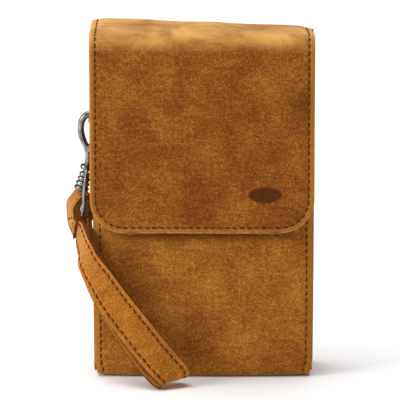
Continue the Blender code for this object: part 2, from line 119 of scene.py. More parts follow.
# Ring tab
TAB_THICKNESS = 1.2 * MM
TAB_OUTER_X = -51.2 * MM

# Hardware
RING_WIRE = 1.25 * MM
BAIL_WIRE = 0.85 * MM
COLLAR_BEADS = ((2.9, 1.1), (3.2, 3.5), (3.5, 5.9), (3.8, 8.3))    # radius and place, mm
CHAIN_Y = JOINT["strap_swing"]["pos_m"][1]
RING_BAR = Vector(JOINT["ring_swing"]["pos_m"])
RING_FOOT = Vector(JOINT["hook_swing"]["pos_m"])
NECK = Vector(JOINT["bail_swivel"]["pos_m"])
NECK_AXIS = Vector(JOINT["bail_swivel"]["axis"]).normalized()
GATE_PIVOT = Vector(JOINT["gate_open"]["pos_m"])
BAIL_BAR = Vector(JOINT["strap_swing"]["pos_m"])
COLLAR_LENGTH = 9.6 * MM
COLLAR_DROP = 12.15 * MM           # neck to the collar's lower end

# Wrist strap: place, direction across and half the distance between the legs, millimetres
STRAP_WIDTH = 17.0
STRAP_NECK_WIDTH = 15.0            # where it goes through the bail
STRAP_NECK_STATIONS = (6, 9)       # the stations between which it widens
STRAP_THICKNESS = 2.4
STRAP_STATIONS = (
    ((-60.1, -1.5, 90.9), (0.24, -1.0, 0.0), 0.0),
    ((-60.1, -1.5, 90.0), (0.25, -1.0, 0.0), 2.3),
    ((-59.9, -1.5, 87.3), (0.26, -1.0, 0.0), 3.7),
    ((-60.1, -1.6, 84.2), (0.26, -1.0, 0.0), 4.1),
    ((-60.4, -2.1, 80.5), (0.27, -1.0, 0.04), 3.7),
    ((-61.0, -3.6, 77.2), (0.3, -1.0, 0.12), 2.4),
    ((-60.1, -7.2, 73.8), (0.3, -1.0, 0.2), 1.5),
    ((-59.0, -12.0, 70.5), (0.36, -1.0, 0.28), 1.3),
    ((-57.5, -17.0, 66.8), (0.48, -1.0, 0.35), 1.3),
    ((-55.5, -21.2, 61.3), (0.82, -0.9, 0.5), 1.4),
    ((-50.7, -24.0, 53.4), (1.0, -0.55, 0.65), 1.6),
    ((-43.4, -26.8, 41.6), (1.0, -0.2, 0.68), 1.9),
    ((-33.6, -30.4, 28.4), (1.0, 0.05, 0.63), 2.2),
    ((-24.4, -33.2, 16.2), (1.0, 0.25, 0.52), 2.6),
    ((-18.2, -34.9, 8.4), (1.0, 0.42, 0.33), 2.8),
    ((-15.6, -35.7, 5.5), (1.0, 0.52, 0.2), 2.0),
    ((-14.8, -36.0, 4.8), (1.0, 0.56, 0.14), 0.0),
)
STRAP_STITCH = 2.7                 # stitch line to the strap's edge, millimetres
STRAP_SLIP = 2.2                   # how far its rear leg hangs back behind the front one
STRAP_STEPS = 14                   # cross-sections from one station to the next
TURN_BACK_THICKNESS = 1.6
TURN_BACK_SPAN = (8, 84)           # its first and last cross-section
TURN_BACK_RISE = 34                # cross-sections over which it comes away from the loop
TURN_BACK_SEAMS = (7, 20)          # its two seams, in cross-sections from its end


# ---------------------------------------------------------------- small geometry helpers

def unit(vectors):
    vectors = np.asarray(vectors, float)
    return vectors / np.maximum(np.linalg.norm(vectors, axis=-1, keepdims=True), 1e-12)


def spaced(low, high, coarse, zones=()):
    """Positions from low to high, closer together inside zones of (from, to, step)."""
    places = [low]
    while places[-1] < high:
        step = coarse
        for start, end, fine in zones:
            if start <= places[-1] + fine and places[-1] <= end:
                step = min(step, fine)
        places.append(places[-1] + step)
    places = np.array(places)
    return low + (places - low) * (high - low) / (places[-1] - low)


def smooth_path(points, steps, cyclic=False):
    """Catmull-Rom points through the given ones."""
    points = np.asarray(points, float)
    count = len(points)
    result = []
    for index in range(count if cyclic else count - 1):
        reach = [index - 1, index, index + 1, index + 2]
        picked = [i % count for i in reach] if cyclic else np.clip(reach, 0, count - 1)
        before, start, end, after = points[picked]
        for t in np.arange(steps) / steps:
            result.append(0.5 * (
                2 * start + (end - before) * t
                + (2 * before - 5 * start + 4 * end - after) * t ** 2
                + (3 * start - before - 3 * end + after) * t ** 3
            ))
    if not cyclic:
        result.append(points[-1])
    return np.array(result)


def by_length(points, count):
    """The polyline through points, read at evenly spaced lengths."""
    run = np.concatenate([[0], np.cumsum(np.linalg.norm(np.diff(points, axis=0), axis=1))])
    at = np.linspace(0, run[-1], count)
    return np.stack([np.interp(at, run, points[:, axis]) for axis in range(points.shape[1])], 1)


def read_profile(profile, share):
    """Both coordinates of an evenly spaced profile, at shares of its length."""
    place = np.clip(share, 0, 1) * (len(profile) - 1)
    index = np.arange(len(profile))
    return (np.interp(place, index, profile[:, axis]) for axis in (0, 1))


def arc(centre, radius, start, end, count):
    angles = np.radians(np.linspace(start, end, count))
    return np.stack([centre[0] + radius * np.cos(angles), centre[1] + radius * np.sin(angles)], 1)


def waves(first, second, size, seed):
    """Gentle unevenness, about -1 to 1, over two coordinates; features are about size across."""
    flat = [
        noise.noise(Vector((a / size, b / size, seed)))
        for a, b in zip(np.ravel(first), np.ravel(second))
    ]
    return np.array(flat).reshape(np.shape(first))


def new_mesh(name, vertices, faces, materials, slots=None, uv=None, edge=None, smooth=True):
    mesh = bpy.data.meshes.new(name)
    mesh.from_pydata([tuple(v) for v in vertices], [], [tuple(f) for f in faces])
    for material in materials:
        mesh.materials.append(material)
    if slots is not None:
        mesh.polygons.foreach_set("material_index", np.asarray(slots, np.int32))
    if uv is not None:
        layer = mesh.uv_layers.new(name="Surface")
        corner = np.empty(len(mesh.loops), np.int32)
        mesh.loops.foreach_get("vertex_index", corner)
        layer.data.foreach_set("uv", np.asarray(uv, np.float32)[corner].ravel())
    wear = mesh.attributes.new("edge", "FLOAT", "POINT")
    values = np.zeros(len(vertices)) if edge is None else edge
    wear.data.foreach_set("value", np.asarray(values, np.float32))
    mesh.polygons.foreach_set("use_smooth", [smooth] * len(mesh.polygons))
    shell = bmesh.new()
    shell.from_mesh(mesh)
    bmesh.ops.recalc_face_normals(shell, faces=shell.faces)
    shell.to_mesh(mesh)
    shell.free()
    thing = bpy.data.objects.new(name, mesh)
    bpy.context.scene.collection.objects.link(thing)
    return thing


def grid_faces(rows, columns, start=0, flip=False):
    index = np.arange(rows * columns).reshape(rows, columns) + start
    quads = np.stack([index[:-1, :-1], index[1:, :-1], index[1:, 1:], index[:-1, 1:]], -1)
    quads = quads.reshape(-1, 4)
    return quads[:, ::-1] if flip else quads


def grid_normals(points):
    """Unit normals of a grid of points, to the left of its first direction."""
    return unit(np.cross(np.gradient(points, axis=0), np.gradient(points, axis=1)))


def border(rows, columns):
    """Grid places round the edge, and the neighbour inside each."""
    around = [(i, 0, i, 1) for i in range(rows - 1)]
    around += [(rows - 1, j, rows - 2, j) for j in range(columns - 1)]
    around += [(i, columns - 1, i, columns - 2) for i in range(rows - 1, 0, -1)]
    around += [(0, j, 1, j) for j in range(columns - 1, 0, -1)]
    return around


def thick_sheet(name, points, thickness, materials, uv, edge=None, flat_rows=()):
    """A grid of outer points made a sheet: outer face, inner face and a rounded cut edge.

    materials are for outer face, inner face and cut edge.  Rows listed in flat_rows, 0 for
    the first or -1 for the last, are cut off flat, because the next piece goes on there."""
    rows, columns, _ = points.shape
    normals = grid_normals(points)
    inner = points - normals * thickness
    count = rows * columns
    vertices = [points.reshape(-1, 3), inner.reshape(-1, 3)]
    faces = [grid_faces(rows, columns), grid_faces(rows, columns, count, True)]
    slots = [np.zeros(len(faces[0])), np.ones(len(faces[1]))]
    uv = np.asarray(uv).reshape(-1, 2) * UV_PER_METRE
    all_uv = [uv, uv]
    wear = np.zeros(count) if edge is None else np.ravel(edge)
    all_wear = [wear, wear]
    around = border(rows, columns)
    place = np.array([i * columns + j for i, j, _, _ in around])
    inside = np.array([i * columns + j for _, _, i, j in around])
    outward = unit(vertices[0][place] - vertices[0][inside])
    ring = [place]
    start = 2 * count
    flat = [rows - 1 if row else 0 for row in flat_rows]
    rounding = np.array([0.0 if i in flat else 1.0 for i, _, _, _ in around])[:, None]
    for depth, bulge in ((0.15, 0.16), (0.5, 0.26), (0.85, 0.16)):
        across = vertices[0][place] * (1 - depth) + vertices[1][place] * depth
        vertices.append(across + outward * rounding * bulge * thickness)
        all_uv.append(uv[place] + depth * thickness * UV_PER_METRE)
        all_wear.append(np.full(len(place), 1.0))
        ring.append(np.arange(len(place)) + start)
        start += len(place)
    ring.append(place + count)
    step = np.roll(np.arange(len(place)), -1)
    for first, second in zip(ring, ring[1:]):
        quads = np.stack([first, second, second[step], first[step]], -1)
        faces.append(quads)
        slots.append(np.full(len(quads), 2))
    return new_mesh(
        name, np.concatenate(vertices), np.concatenate(faces), materials,
        np.concatenate(slots), np.concatenate(all_uv), np.concatenate(all_wear),
    )


def frames_along(path, cyclic=False):
    """Unit tangents, and two directions square to them that turn as little as they can."""
    if cyclic:
        tangent = unit(np.roll(path, -1, 0) - np.roll(path, 1, 0))
    else:
        tangent = unit(np.gradient(path, axis=0))
    first = np.cross(tangent[0], (0.0, 1.0, 0.0))
    if np.linalg.norm(first) < 0.3:
        first = np.cross(tangent[0], (1.0, 0.0, 0.0))
    side = [unit(first)]
    for direction in tangent[1:]:
        carried = side[-1] - direction * (side[-1] @ direction)
        side.append(unit(carried))
    side = np.array(side)
    return tangent, side, np.cross(tangent, side)


def tube(name, path, radius, material, sides=20, cyclic=False):
    """A round bar along a path; radius may differ at each point, and its ends are domed."""
    path = np.asarray(path, float)
    radius = np.broadcast_to(np.asarray(radius, float), (len(path),))
    tangent, side, other = frames_along(path, cyclic)
    if not cyclic:
        caps = np.array([0.97, 0.75, 0.4])
        lift = np.array([0.25, 0.62, 0.9])
        head = path[0] - tangent[0] * radius[0] * lift[:, None][::-1] * 0.8
        tail = path[-1] + tangent[-1] * radius[-1] * lift[:, None] * 0.8
        path = np.concatenate([head, path, tail])
        radius = np.concatenate([radius[0] * caps[::-1], radius, radius[-1] * caps])
        side = np.concatenate([np.repeat(side[:1], 3, 0), side, np.repeat(side[-1:], 3, 0)])
        other = np.concatenate([np.repeat(other[:1], 3, 0), other, np.repeat(other[-1:], 3, 0)])
    angles = np.linspace(0, 2 * np.pi, sides, endpoint=False)
    ring = (
        side[:, None] * np.cos(angles)[None, :, None]
        + other[:, None] * np.sin(angles)[None, :, None]
    )
    vertices = (path[:, None] + ring * radius[:, None, None]).reshape(-1, 3)
    faces = []
    index = np.arange(len(path) * sides).reshape(len(path), sides)
    following = np.roll(index, -1, 1)
    last = len(path) if cyclic else len(path) - 1
    for row in range(last):
        nxt = (row + 1) % len(path)
        faces += list(np.stack([index[row], following[row], following[nxt], index[nxt]], -1))
    if not cyclic:
        faces.append(index[0][::-1])
        faces.append(index[-1])
    return new_mesh(name, vertices, faces, [material])


def turned(name, profile, centre, axis, material, sides=48):
    """A closed profile of (radius, height) pairs turned about an axis."""
    profile = np.asarray(profile, float)
    axis = np.array(Vector(axis).normalized())
    first = unit(np.cross(axis, (0.3, 0.9, 0.1)))
    second = np.cross(axis, first)
    angles = np.linspace(0, 2 * np.pi, sides, endpoint=False)
    ring = first * np.cos(angles)[:, None] + second * np.sin(angles)[:, None]
    vertices = (
        np.array(centre) + profile[:, None, :1] * ring[None] + profile[:, None, 1:] * axis
    ).reshape(-1, 3)
    count = len(profile)
    index = np.arange(count * sides).reshape(count, sides)
    faces = []
    for row in range(count):
        nxt = (row + 1) % count
        faces += list(np.stack(
            [index[row], np.roll(index[row], -1), np.roll(index[nxt], -1), index[nxt]], -1))
    thing = new_mesh(name, vertices, faces, [material])
    thing.data.set_sharp_from_angle(angle=math.radians(50))
    return thing


def stitches(name, path, normals, material, pitch=STITCH_PITCH, length=STITCH_LENGTH,
             radius=THREAD, cyclic=False):
    """A row of separate stitches along a path that lies on a surface with these normals."""
    path = np.asarray(path, float)
    normals = unit(normals)
    if cyclic:
        path = np.concatenate([path, path[:1]])
        normals = np.concatenate([normals, normals[:1]])
    run = np.concatenate([[0], np.cumsum(np.linalg.norm(np.diff(path, axis=0), axis=1))])
    count = max(1, round(run[-1] / pitch))
    spacing = run[-1] / count
    share = np.linspace(0, 1, 8)
    arch = np.sin(np.pi * share) ** 0.6
    thick = radius * (0.55 + 0.45 * arch)
    angles = np.linspace(0, 2 * np.pi, 8, endpoint=False)
    vertices, faces = [], []
    for number in range(count):
        begin = number * spacing + (spacing - length) / 2
        at = begin + share * length
        centre = np.stack([np.interp(at, run, path[:, k]) for k in range(3)], 1)
        up = unit(np.stack([np.interp(at, run, normals[:, k]) for k in range(3)], 1))
        along = unit(np.gradient(centre, axis=0))
        across = np.cross(along, up)
        centre = centre + up * (radius * (1.25 * arch - 0.95))[:, None]
        centre = centre + across * ((share - 0.5) * 0.28 * MM)[:, None]
        ring = across[:, None] * np.cos(angles)[None, :, None]
        ring = ring + up[:, None] * np.sin(angles)[None, :, None]
        start = len(vertices) * 8
        vertices += list(centre[:, None] + ring * thick[:, None, None])
        index = np.arange(64).reshape(8, 8) + start
        following = np.roll(index, -1, 1)
        for row in range(7):
            faces += list(np.stack(
                [index[row], following[row], following[row + 1], index[row + 1]], -1))
        faces += [index[0][::-1], index[-1]]
    return new_mesh(name, np.concatenate(vertices), faces, [material])


# ---------------------------------------------------------------- materials

def srgb(red, green, blue):
    """A display colour, 0 to 255, as a linear one."""
    shares = [part / 255 for part in (red, green, blue)]
    linear = [s / 12.92 if s <= 0.04045 else ((s + 0.055) / 1.055) ** 2.4 for s in shares]
    return (*linear, 1.0)


class Nodes:
    """A material's node tree, with short ways to add and join nodes."""

    def __init__(self, name):
        self.material = bpy.data.materials.new(name)
        self.material.use_nodes = True
        self.tree = self.material.node_tree
        self.shader = self.tree.nodes["Principled BSDF"]

    def add(self, kind, **settings):
        node = self.tree.nodes.new(kind)
        for key, value in settings.items():
            setattr(node, key, value)
        return node

    def join(self, source, target):
        self.tree.links.new(source, target)

    def surface(self, scale=(1.0, 1.0, 1.0)):
        """Places on a sheet, from its flattened-out map."""
        where = self.add("ShaderNodeUVMap", uv_map="Surface")
        return self.scaled(where.outputs["UV"], scale)

    def solid(self, scale=(1.0, 1.0, 1.0)):
        """Places in the object's own space."""
        where = self.add("ShaderNodeTexCoord")
        return self.scaled(where.outputs["Object"], scale)

    def scaled(self, source, scale):
        mapping = self.add("ShaderNodeMapping")
        mapping.inputs["Scale"].default_value = scale
        self.join(source, mapping.inputs["Vector"])
        return mapping.outputs["Vector"]

    def noise(self, where, scale, detail=3.0, roughness=0.55, distortion=0.0):
        node = self.add("ShaderNodeTexNoise")
        node.inputs["Scale"].default_value = scale
        node.inputs["Detail"].default_value = detail
        node.inputs["Roughness"].default_value = roughness
        node.inputs["Distortion"].default_value = distortion
        self.join(where, node.inputs["Vector"])
        return node.outputs["Fac"]

    def ramp(self, factor, stops):
        node = self.add("ShaderNodeValToRGB")
        band = node.color_ramp
        while len(band.elements) < len(stops):
            band.elements.new(0.5)
        for element, (place, colour) in zip(band.elements, stops):
            element.position = place
            element.color = colour
        self.join(factor, node.inputs["Fac"])
        return node.outputs["Color"]

    def mix(self, factor, first, second, blend="MIX"):
        node = self.add("ShaderNodeMix", data_type="RGBA", blend_type=blend)
        for value, socket in ((factor, node.inputs[0]), (first, node.inputs[6]),
                              (second, node.inputs[7])):
            if isinstance(value, bpy.types.NodeSocket):
                self.join(value, socket)
            else:
                socket.default_value = value
        return node.outputs[2]

    def sum(self, *parts):
        """The weighted sum of (output, weight) pairs."""
        total = None
        for output, weight in parts:
            node = self.add("ShaderNodeMath", operation="MULTIPLY_ADD")
            self.join(output, node.inputs[0])
            node.inputs[1].default_value = weight
            if total is None:
                node.inputs[2].default_value = 0.0
            else:
                self.join(total, node.inputs[2])
            total = node.outputs[0]
        return total

    def spread(self, source, low, high, to_low=0.0, to_high=1.0):
        node = self.add("ShaderNodeMapRange")
        node.inputs["From Min"].default_value = low
        node.inputs["From Max"].default_value = high
        node.inputs["To Min"].default_value = to_low
        node.inputs["To Max"].default_value = to_high
        self.join(source, node.inputs["Value"])
        return node.outputs["Result"]

    # reads a per-point attribute: edge wear, the pressed mark, painted sheen and painted shadow
    def point_value(self, name):
        node = self.add("ShaderNodeAttribute", attribute_name=name)
        return node.outputs["Fac"]

    def bump(self, height, strength, distance):
        node = self.add("ShaderNodeBump")
        node.inputs["Strength"].default_value = strength
        node.inputs["Distance"].default_value = distance
        self.join(height, node.inputs["Height"])
        self.join(node.outputs["Normal"], self.shader.inputs["Normal"])

    def set(self, **values):
        for key, value in values.items():
            self.shader.inputs[key.replace("_", " ")].default_value = value

    def feed(self, output, socket):
        self.join(output, self.shader.inputs[socket])


SUEDE_DARK = srgb(98, 48, 6)
SUEDE_MID = srgb(134, 74, 16)
SUEDE_LIGHT = srgb(178, 112, 38)
# the pressed oval's darker suede, also used for the painted shadow under the flap's foot
SUEDE_PRESSED_AND_SHADE = srgb(70, 32, 6)
SUEDE_EDGE = srgb(214, 150, 70)
# painted sheen: the paler colour of the flap's top, where light grazes it
SUEDE_ROOF_SHEEN = srgb(222, 166, 86)


def make_suede(name, dark, mid, light, edge, contrast=1.0):
    """Brushed suede: cloudy nap, short fibres, lighter edges from wear, a darker pressed mark, painted
    sheen and painted shadow.
    """
    nodes = Nodes(name)
    flat = nodes.surface()
    slanted = nodes.surface((1.0, 2.6, 1.0))
    clouds = nodes.noise(flat, 4.0, 4.0, 0.6, 0.6)
    strokes = nodes.noise(slanted, 13.0, 4.0, 0.6, 0.8)
    mottle = nodes.noise(flat, 52.0, 3.0, 0.6)
    nap = nodes.noise(flat, 120.0, 2.0, 0.65)
    fibres = nodes.noise(slanted, 260.0, 2.0, 0.7)
    tone = nodes.sum((clouds, 0.42), (strokes, 0.2), (mottle, 0.4), (nap, 0.7))
    centre = 0.86
    half = 0.17 / contrast
    stops = nodes.spread(tone, centre - half, centre + half)
    colour = nodes.ramp(stops, ((0.0, dark), (0.5, mid), (1.0, light)))
    colour = nodes.mix(nodes.spread(nodes.point_value("edge"), 0.0, 1.0, 0.0, 0.62), colour, edge)
    # painted sheen: the flap's top made paler in patches, where light grazes the nap
    rubbed = nodes.add("ShaderNodeMath", operation="MULTIPLY")
    nodes.join(nodes.point_value("rubbed"), rubbed.inputs[0])
    nodes.join(nodes.spread(clouds, 0.38, 0.6, 0.22, 0.85), rubbed.inputs[1])
    colour = nodes.mix(rubbed.outputs[0], colour, SUEDE_ROOF_SHEEN)
    # darker where the mark attribute is set: the pressed oval, and on the body a painted shadow under the
    # flap's foot
    colour = nodes.mix(nodes.spread(nodes.point_value("mark"), 0.0, 1.0, 0.0, 0.85), colour,
                       SUEDE_PRESSED_AND_SHADE)
    nodes.feed(colour, "Base Color")
    nodes.feed(nodes.spread(tone, 0.5, 1.2, 0.96, 0.84), "Roughness")
    nodes.set(Specular_IOR_Level=0.08, Sheen_Weight=0.6, Sheen_Roughness=0.45,
              Sheen_Tint=srgb(255, 214, 160))
    height = nodes.sum((nap, 1.0), (fibres, 0.5), (mottle, 0.9), (strokes, 0.7))
    nodes.bump(height, 0.55, 0.28 * MM)
    return nodes.material


def make_raw_edge(name, dark, light):
    """The cut edge of suede: loose fibres, lighter and darker along its length."""
    nodes = Nodes(name)
    where = nodes.solid()
    fibres = nodes.noise(where, 2600.0, 3.0, 0.7)
    patches = nodes.noise(where, 420.0, 2.0, 0.5)
    tone = nodes.sum((fibres, 0.6), (patches, 0.5))
    colour = nodes.ramp(tone, ((0.35, dark), (0.75, light)))
    nodes.feed(colour, "Base Color")
    nodes.set(Roughness=0.95, Specular_IOR_Level=0.05)
    nodes.bump(fibres, 0.6, 0.2 * MM)
    return nodes.material


def make_cloth(name, warp, weft):
    """Cotton twill: fine diagonal ribs of two close colours."""
    nodes = Nodes(name)
    flat = nodes.surface()
    ribs = nodes.add("ShaderNodeTexWave", wave_type="BANDS", bands_direction="DIAGONAL")
    ribs.inputs["Scale"].default_value = 34.0
    ribs.inputs["Distortion"].default_value = 0.6
    ribs.inputs["Detail Scale"].default_value = 3.0
    nodes.join(flat, ribs.inputs["Vector"])
    slubs = nodes.noise(nodes.surface((1.0, 5.0, 1.0)), 60.0, 3.0, 0.6)
    fade = nodes.noise(flat, 6.0, 3.0, 0.5)
    tone = nodes.sum((ribs.outputs["Fac"], 0.45), (slubs, 0.35), (fade, 0.3))
    nodes.feed(nodes.ramp(tone, ((0.2, weft), (0.85, warp))), "Base Color")
    nodes.set(Roughness=0.88, Specular_IOR_Level=0.2, Sheen_Weight=0.15, Sheen_Roughness=0.5)
    nodes.bump(nodes.sum((ribs.outputs["Fac"], 0.7), (slubs, 0.5)), 0.5, 0.12 * MM)
    return nodes.material


def make_thread(name, dark, light):
    """Waxed thread with its plies showing as fine slanted ridges."""
    nodes = Nodes(name)
    where = nodes.solid()
    plies = nodes.add("ShaderNodeTexWave", wave_type="BANDS", bands_direction="DIAGONAL")
    plies.inputs["Scale"].default_value = 900.0
    nodes.join(where, plies.inputs["Vector"])
    wax = nodes.noise(where, 300.0, 2.0, 0.5)
    tone = nodes.sum((plies.outputs["Fac"], 0.5), (wax, 0.6))
    nodes.feed(nodes.ramp(tone, ((0.25, dark), (0.85, light))), "Base Color")
    nodes.set(Roughness=0.75, Specular_IOR_Level=0.08)
    nodes.bump(plies.outputs["Fac"], 0.5, 0.08 * MM)
    return nodes.material


def make_gunmetal(name):
    """Black nickel plate: dark, bright in reflections, scuffed a little grey in places."""
    nodes = Nodes(name)
    where = nodes.solid()
    rubbed = nodes.noise(where, 260.0, 3.0, 0.6)
    scuffs = nodes.noise(nodes.solid((1.0, 1.0, 4.0)), 1400.0, 2.0, 0.6)
    colour = nodes.ramp(rubbed, ((0.35, srgb(104, 106, 104)), (0.7, srgb(158, 160, 156))))
    nodes.feed(colour, "Base Color")
    nodes.feed(nodes.spread(scuffs, 0.3, 0.8, 0.2, 0.38), "Roughness")
    nodes.set(Metallic=1.0)
    nodes.bump(scuffs, 0.12, 0.05 * MM)
    return nodes.material


def make_paper(name):
    """The seamless white sheet that the wallet stands on."""
    nodes = Nodes(name)
    tooth = nodes.noise(nodes.solid(), 900.0, 2.0, 0.5)
    nodes.feed(nodes.ramp(tooth, ((0.3, (0.93, 0.93, 0.93, 1)), (0.7, (0.96, 0.96, 0.96, 1)))),
               "Base Color")
    nodes.set(Roughness=0.75, Specular_IOR_Level=0.2)
    return nodes.material


SUEDE_FACE = make_suede("suede_face", SUEDE_DARK, SUEDE_MID, SUEDE_LIGHT, SUEDE_EDGE)
SUEDE_BACK = make_suede("suede_back", srgb(112, 62, 20), srgb(146, 90, 38), srgb(170, 112, 56),
                        SUEDE_EDGE, 0.8)
SUEDE_BODY = make_suede("suede_body", srgb(112, 60, 11), srgb(158, 95, 27), srgb(200, 133, 52),
                        srgb(164, 108, 42))
SUEDE_GUSSET = make_suede("suede_gusset", srgb(104, 56, 18), srgb(138, 82, 34), srgb(164, 106, 52),
                          SUEDE_EDGE, 0.8)
STRAP_FACE = make_suede("strap_suede", srgb(126, 66, 12), srgb(164, 96, 26), srgb(200, 132, 48),
                        srgb(206, 142, 70), 0.9)
RAW_EDGE = make_raw_edge("suede_cut_edge", srgb(106, 60, 18), srgb(190, 130, 66))
STRAP_EDGE = make_raw_edge("strap_cut_edge", srgb(74, 38, 9), srgb(136, 80, 27))
CLOTH_FACE = make_cloth("lining_twill", srgb(150, 116, 78), srgb(104, 76, 46))
THREAD_BROWN = make_thread("brown_thread", srgb(50, 22, 6), srgb(98, 50, 15))
GUNMETAL = make_gunmetal("gunmetal_plate")
FLOOR_PAPER = make_paper("white_paper")


def dress(thing, body, slot, *nodes):
    """Rides a piece on a body and lets it stand for CAD nodes; slot is not used."""
    if body:
        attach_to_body(thing, body)
    if nodes:
        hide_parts(*nodes)
    return thing


# ---------------------------------------------------------------- camera, light and floor

def make_camera():
    data = bpy.data.cameras.new("view")
    camera = bpy.data.objects.new("view", data)
    bpy.context.scene.collection.objects.link(camera)
    lift = math.radians(VIEW_ELEVATION)
    target = Vector(VIEW_TARGET)
    camera.location = target + VIEW_DISTANCE * Vector((0.0, -math.cos(lift), math.sin(lift)))
    camera.rotation_euler = (target - camera.location).to_track_quat("-Z", "Y").to_euler()
    data.sensor_width = SENSOR
    data.lens = SENSOR * VIEW_DISTANCE / VIEW_FIELD
    data.clip_start = 0.01
    bpy.context.scene.camera = camera


def make_light(name, place, aim, size, energy):
    data = bpy.data.lights.new(name, "AREA")
    data.shape = "RECTANGLE"
    data.size, data.size_y = size
    data.energy = energy
    lamp = bpy.data.objects.new(name, data)
    lamp.location = place
    lamp.rotation_euler = (Vector(aim) - Vector(place)).to_track_quat("-Z", "Y").to_euler()
    bpy.context.scene.collection.objects.link(lamp)


def make_overhead():
    """A broad, even light from above."""
    data = bpy.data.lights.new("overhead", "SUN")
    data.energy = OVERHEAD
    data.angle = math.radians(OVERHEAD_SPREAD)
    lamp = bpy.data.objects.new("overhead", data)
    lamp.rotation_euler = Vector(OVERHEAD_FROM).to_track_quat("Z", "Y").to_euler()
    bpy.context.scene.collection.objects.link(lamp)


def make_studio():
    scene = bpy.context.scene
    scene.view_settings.view_transform = "Standard"
    world = bpy.data.worlds.new("studio")
    world.use_nodes = True
    tree = world.node_tree
    sky = tree.nodes["Background"]
    sky.inputs["Color"].default_value = (1.0, 1.0, 1.0, 1.0)
    rays = tree.nodes.new("ShaderNodeLightPath")
    strength = tree.nodes.new("ShaderNodeMapRange")
    strength.inputs["To Min"].default_value = AMBIENT
    strength.inputs["To Max"].default_value = BACKDROP
    tree.links.new(rays.outputs["Is Camera Ray"], strength.inputs["Value"])
    tree.links.new(strength.outputs["Result"], sky.inputs["Strength"])
    scene.world = world
    make_overhead()
    for name, (place, size, watts) in (("left_softbox", SOFTBOX), ("front_fill", FILL)):
        make_light(name, place, LIGHT_AIM, size, watts)
    corners = [(x * FLOOR_HALF, y * FLOOR_HALF, 0.0) for x, y in ((-1, -1), (1, -1), (1, 1), (-1, 1))]
    floor = new_mesh("floor", corners, [(0, 1, 2, 3)], [FLOOR_PAPER])


# ---------------------------------------------------------------- the flap

def smoothstep(low, high, value):
    t = np.clip((np.asarray(value, float) - low) / (high - low), 0, 1)
    return t * t * (3 - 2 * t)


FLAP_HALF = (FLAP_HIGH.x - FLAP_LOW.x) / 2 + 0.1 * MM
FLAP_FACE = FLAP_LOW.y
FLAP_FOOT = FLAP_LOW.z + 0.8 * MM
FLAP_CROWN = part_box("flap_top")[1].z + 0.6 * MM
FLAP_SEAM = 152.0 * MM                 # its lower end on the back panel
FLAP_SEAM_Y = WRAP_HIGH.y + SUEDE + 0.3 * MM
FOLD_FRONT = 6.5 * MM
FOLD_BACK = 6.0 * MM


def flap_profile():
    """The flap's outer face seen from the side: seam, back fold, top, front fold and foot."""
    back = arc((FLAP_SEAM_Y - FOLD_BACK, FLAP_CROWN - FOLD_BACK), FOLD_BACK, 0, 90, 24)
    front = arc((FLAP_FACE + FOLD_FRONT, FLAP_CROWN - FOLD_FRONT), FOLD_FRONT, 90, 180, 24)
    seam = [(FLAP_SEAM_Y, FLAP_SEAM)]
    foot = [(FLAP_FACE, FLAP_FOOT)]
    return by_length(np.concatenate([seam, back, front, foot]), 1500)


FLAP_PROFILE = flap_profile()
FLAP_LENGTH = float(np.linalg.norm(np.diff(FLAP_PROFILE, axis=0), axis=1).sum())
FLAP_MIDDLE = FLAP_LENGTH * 0.24       # where its two pieces meet, on the top


def flap_side(run):
    """Half the flap's width without its rounded corners: a little narrower behind."""
    return FLAP_HALF - 1.1 * MM * (1 - smoothstep(10 * MM, 60 * MM, run))


def flap_half(run):
    """Half the flap's width at a length from its seam, with the rounded corners of its foot."""
    run = np.asarray(run, float)
    left = np.clip(FLAP_LENGTH - run, 0, FLAP_CORNER)
    round_off = np.sqrt(np.clip(FLAP_CORNER ** 2 - (FLAP_CORNER - left) ** 2, 0, 1))
    return flap_side(run) - FLAP_CORNER + round_off


def flap_rim(across, run):
    """Distance from the flap's cut edge."""
    half = flap_side(run)
    over = np.abs(across) - (half - FLAP_CORNER)
    left = FLAP_LENGTH - run
    corner = FLAP_CORNER - np.hypot(over, FLAP_CORNER - left)
    rounded = (left < FLAP_CORNER) & (over > 0)
    return np.where(rounded, corner, np.minimum(half - np.abs(across), left))


def flap_surface(across, run):
    """Smooth outer face of the flap, before grooves; across from its middle, run from its seam."""
    y, z = read_profile(FLAP_PROFILE, run / FLAP_LENGTH)
    roof = smoothstep(-20 * MM, 10 * MM, y) * smoothstep(156 * MM, 170 * MM, z)
    tilt = -across / FLAP_HALF
    z = z + roof * (0.5 * MM + 2.2 * MM * tilt)
    top = smoothstep(168 * MM, 173 * MM, z)
    z = z + top * 0.7 * MM * waves(across, run, 17 * MM, 3.1)
    z = z - top * 1.2 * MM * smoothstep(0.86, 1.0, np.abs(tilt)) * roof
    hang = smoothstep(45 * MM, 80 * MM, run)
    crown = 1 - (across / FLAP_HALF) ** 2
    y = y - hang * 0.8 * MM * waves(across, run, 42 * MM, 8.4)
    y = y - hang * 0.7 * MM * crown
    y = y - hang * 0.12 * MM * waves(across, run, 9 * MM, 5.2)
    return np.stack([across + FLAP_SHIFT, y, z], -1)


def groove(rim, inset):
    """How far a stitch line at this inset pulls the suede in, at a distance from the cut edge."""
    line = GROOVE_DEPTH * np.exp(-((rim - inset) / GROOVE_WIDTH) ** 2)
    return line + 0.25 * MM * np.exp(-(rim / (0.5 * MM)) ** 2)


def pressed(points):
    """1 inside the pressed oval, 0 outside."""
    reach = np.hypot((points[..., 0] - MARK_X) / MARK_HALF[0], (points[..., 2] - MARK_Z) / MARK_HALF[1])
    return (1 - smoothstep(0.86, 1.06, reach)) * (points[..., 1] < 0)


def edge_wear(rim):
    """The lighter band between stitches and cut edge."""
    band = 0.36 * (1 - smoothstep(2.0 * MM, 2.9 * MM, rim))
    return band + 0.64 * (1 - smoothstep(0.0, 0.9 * MM, rim))


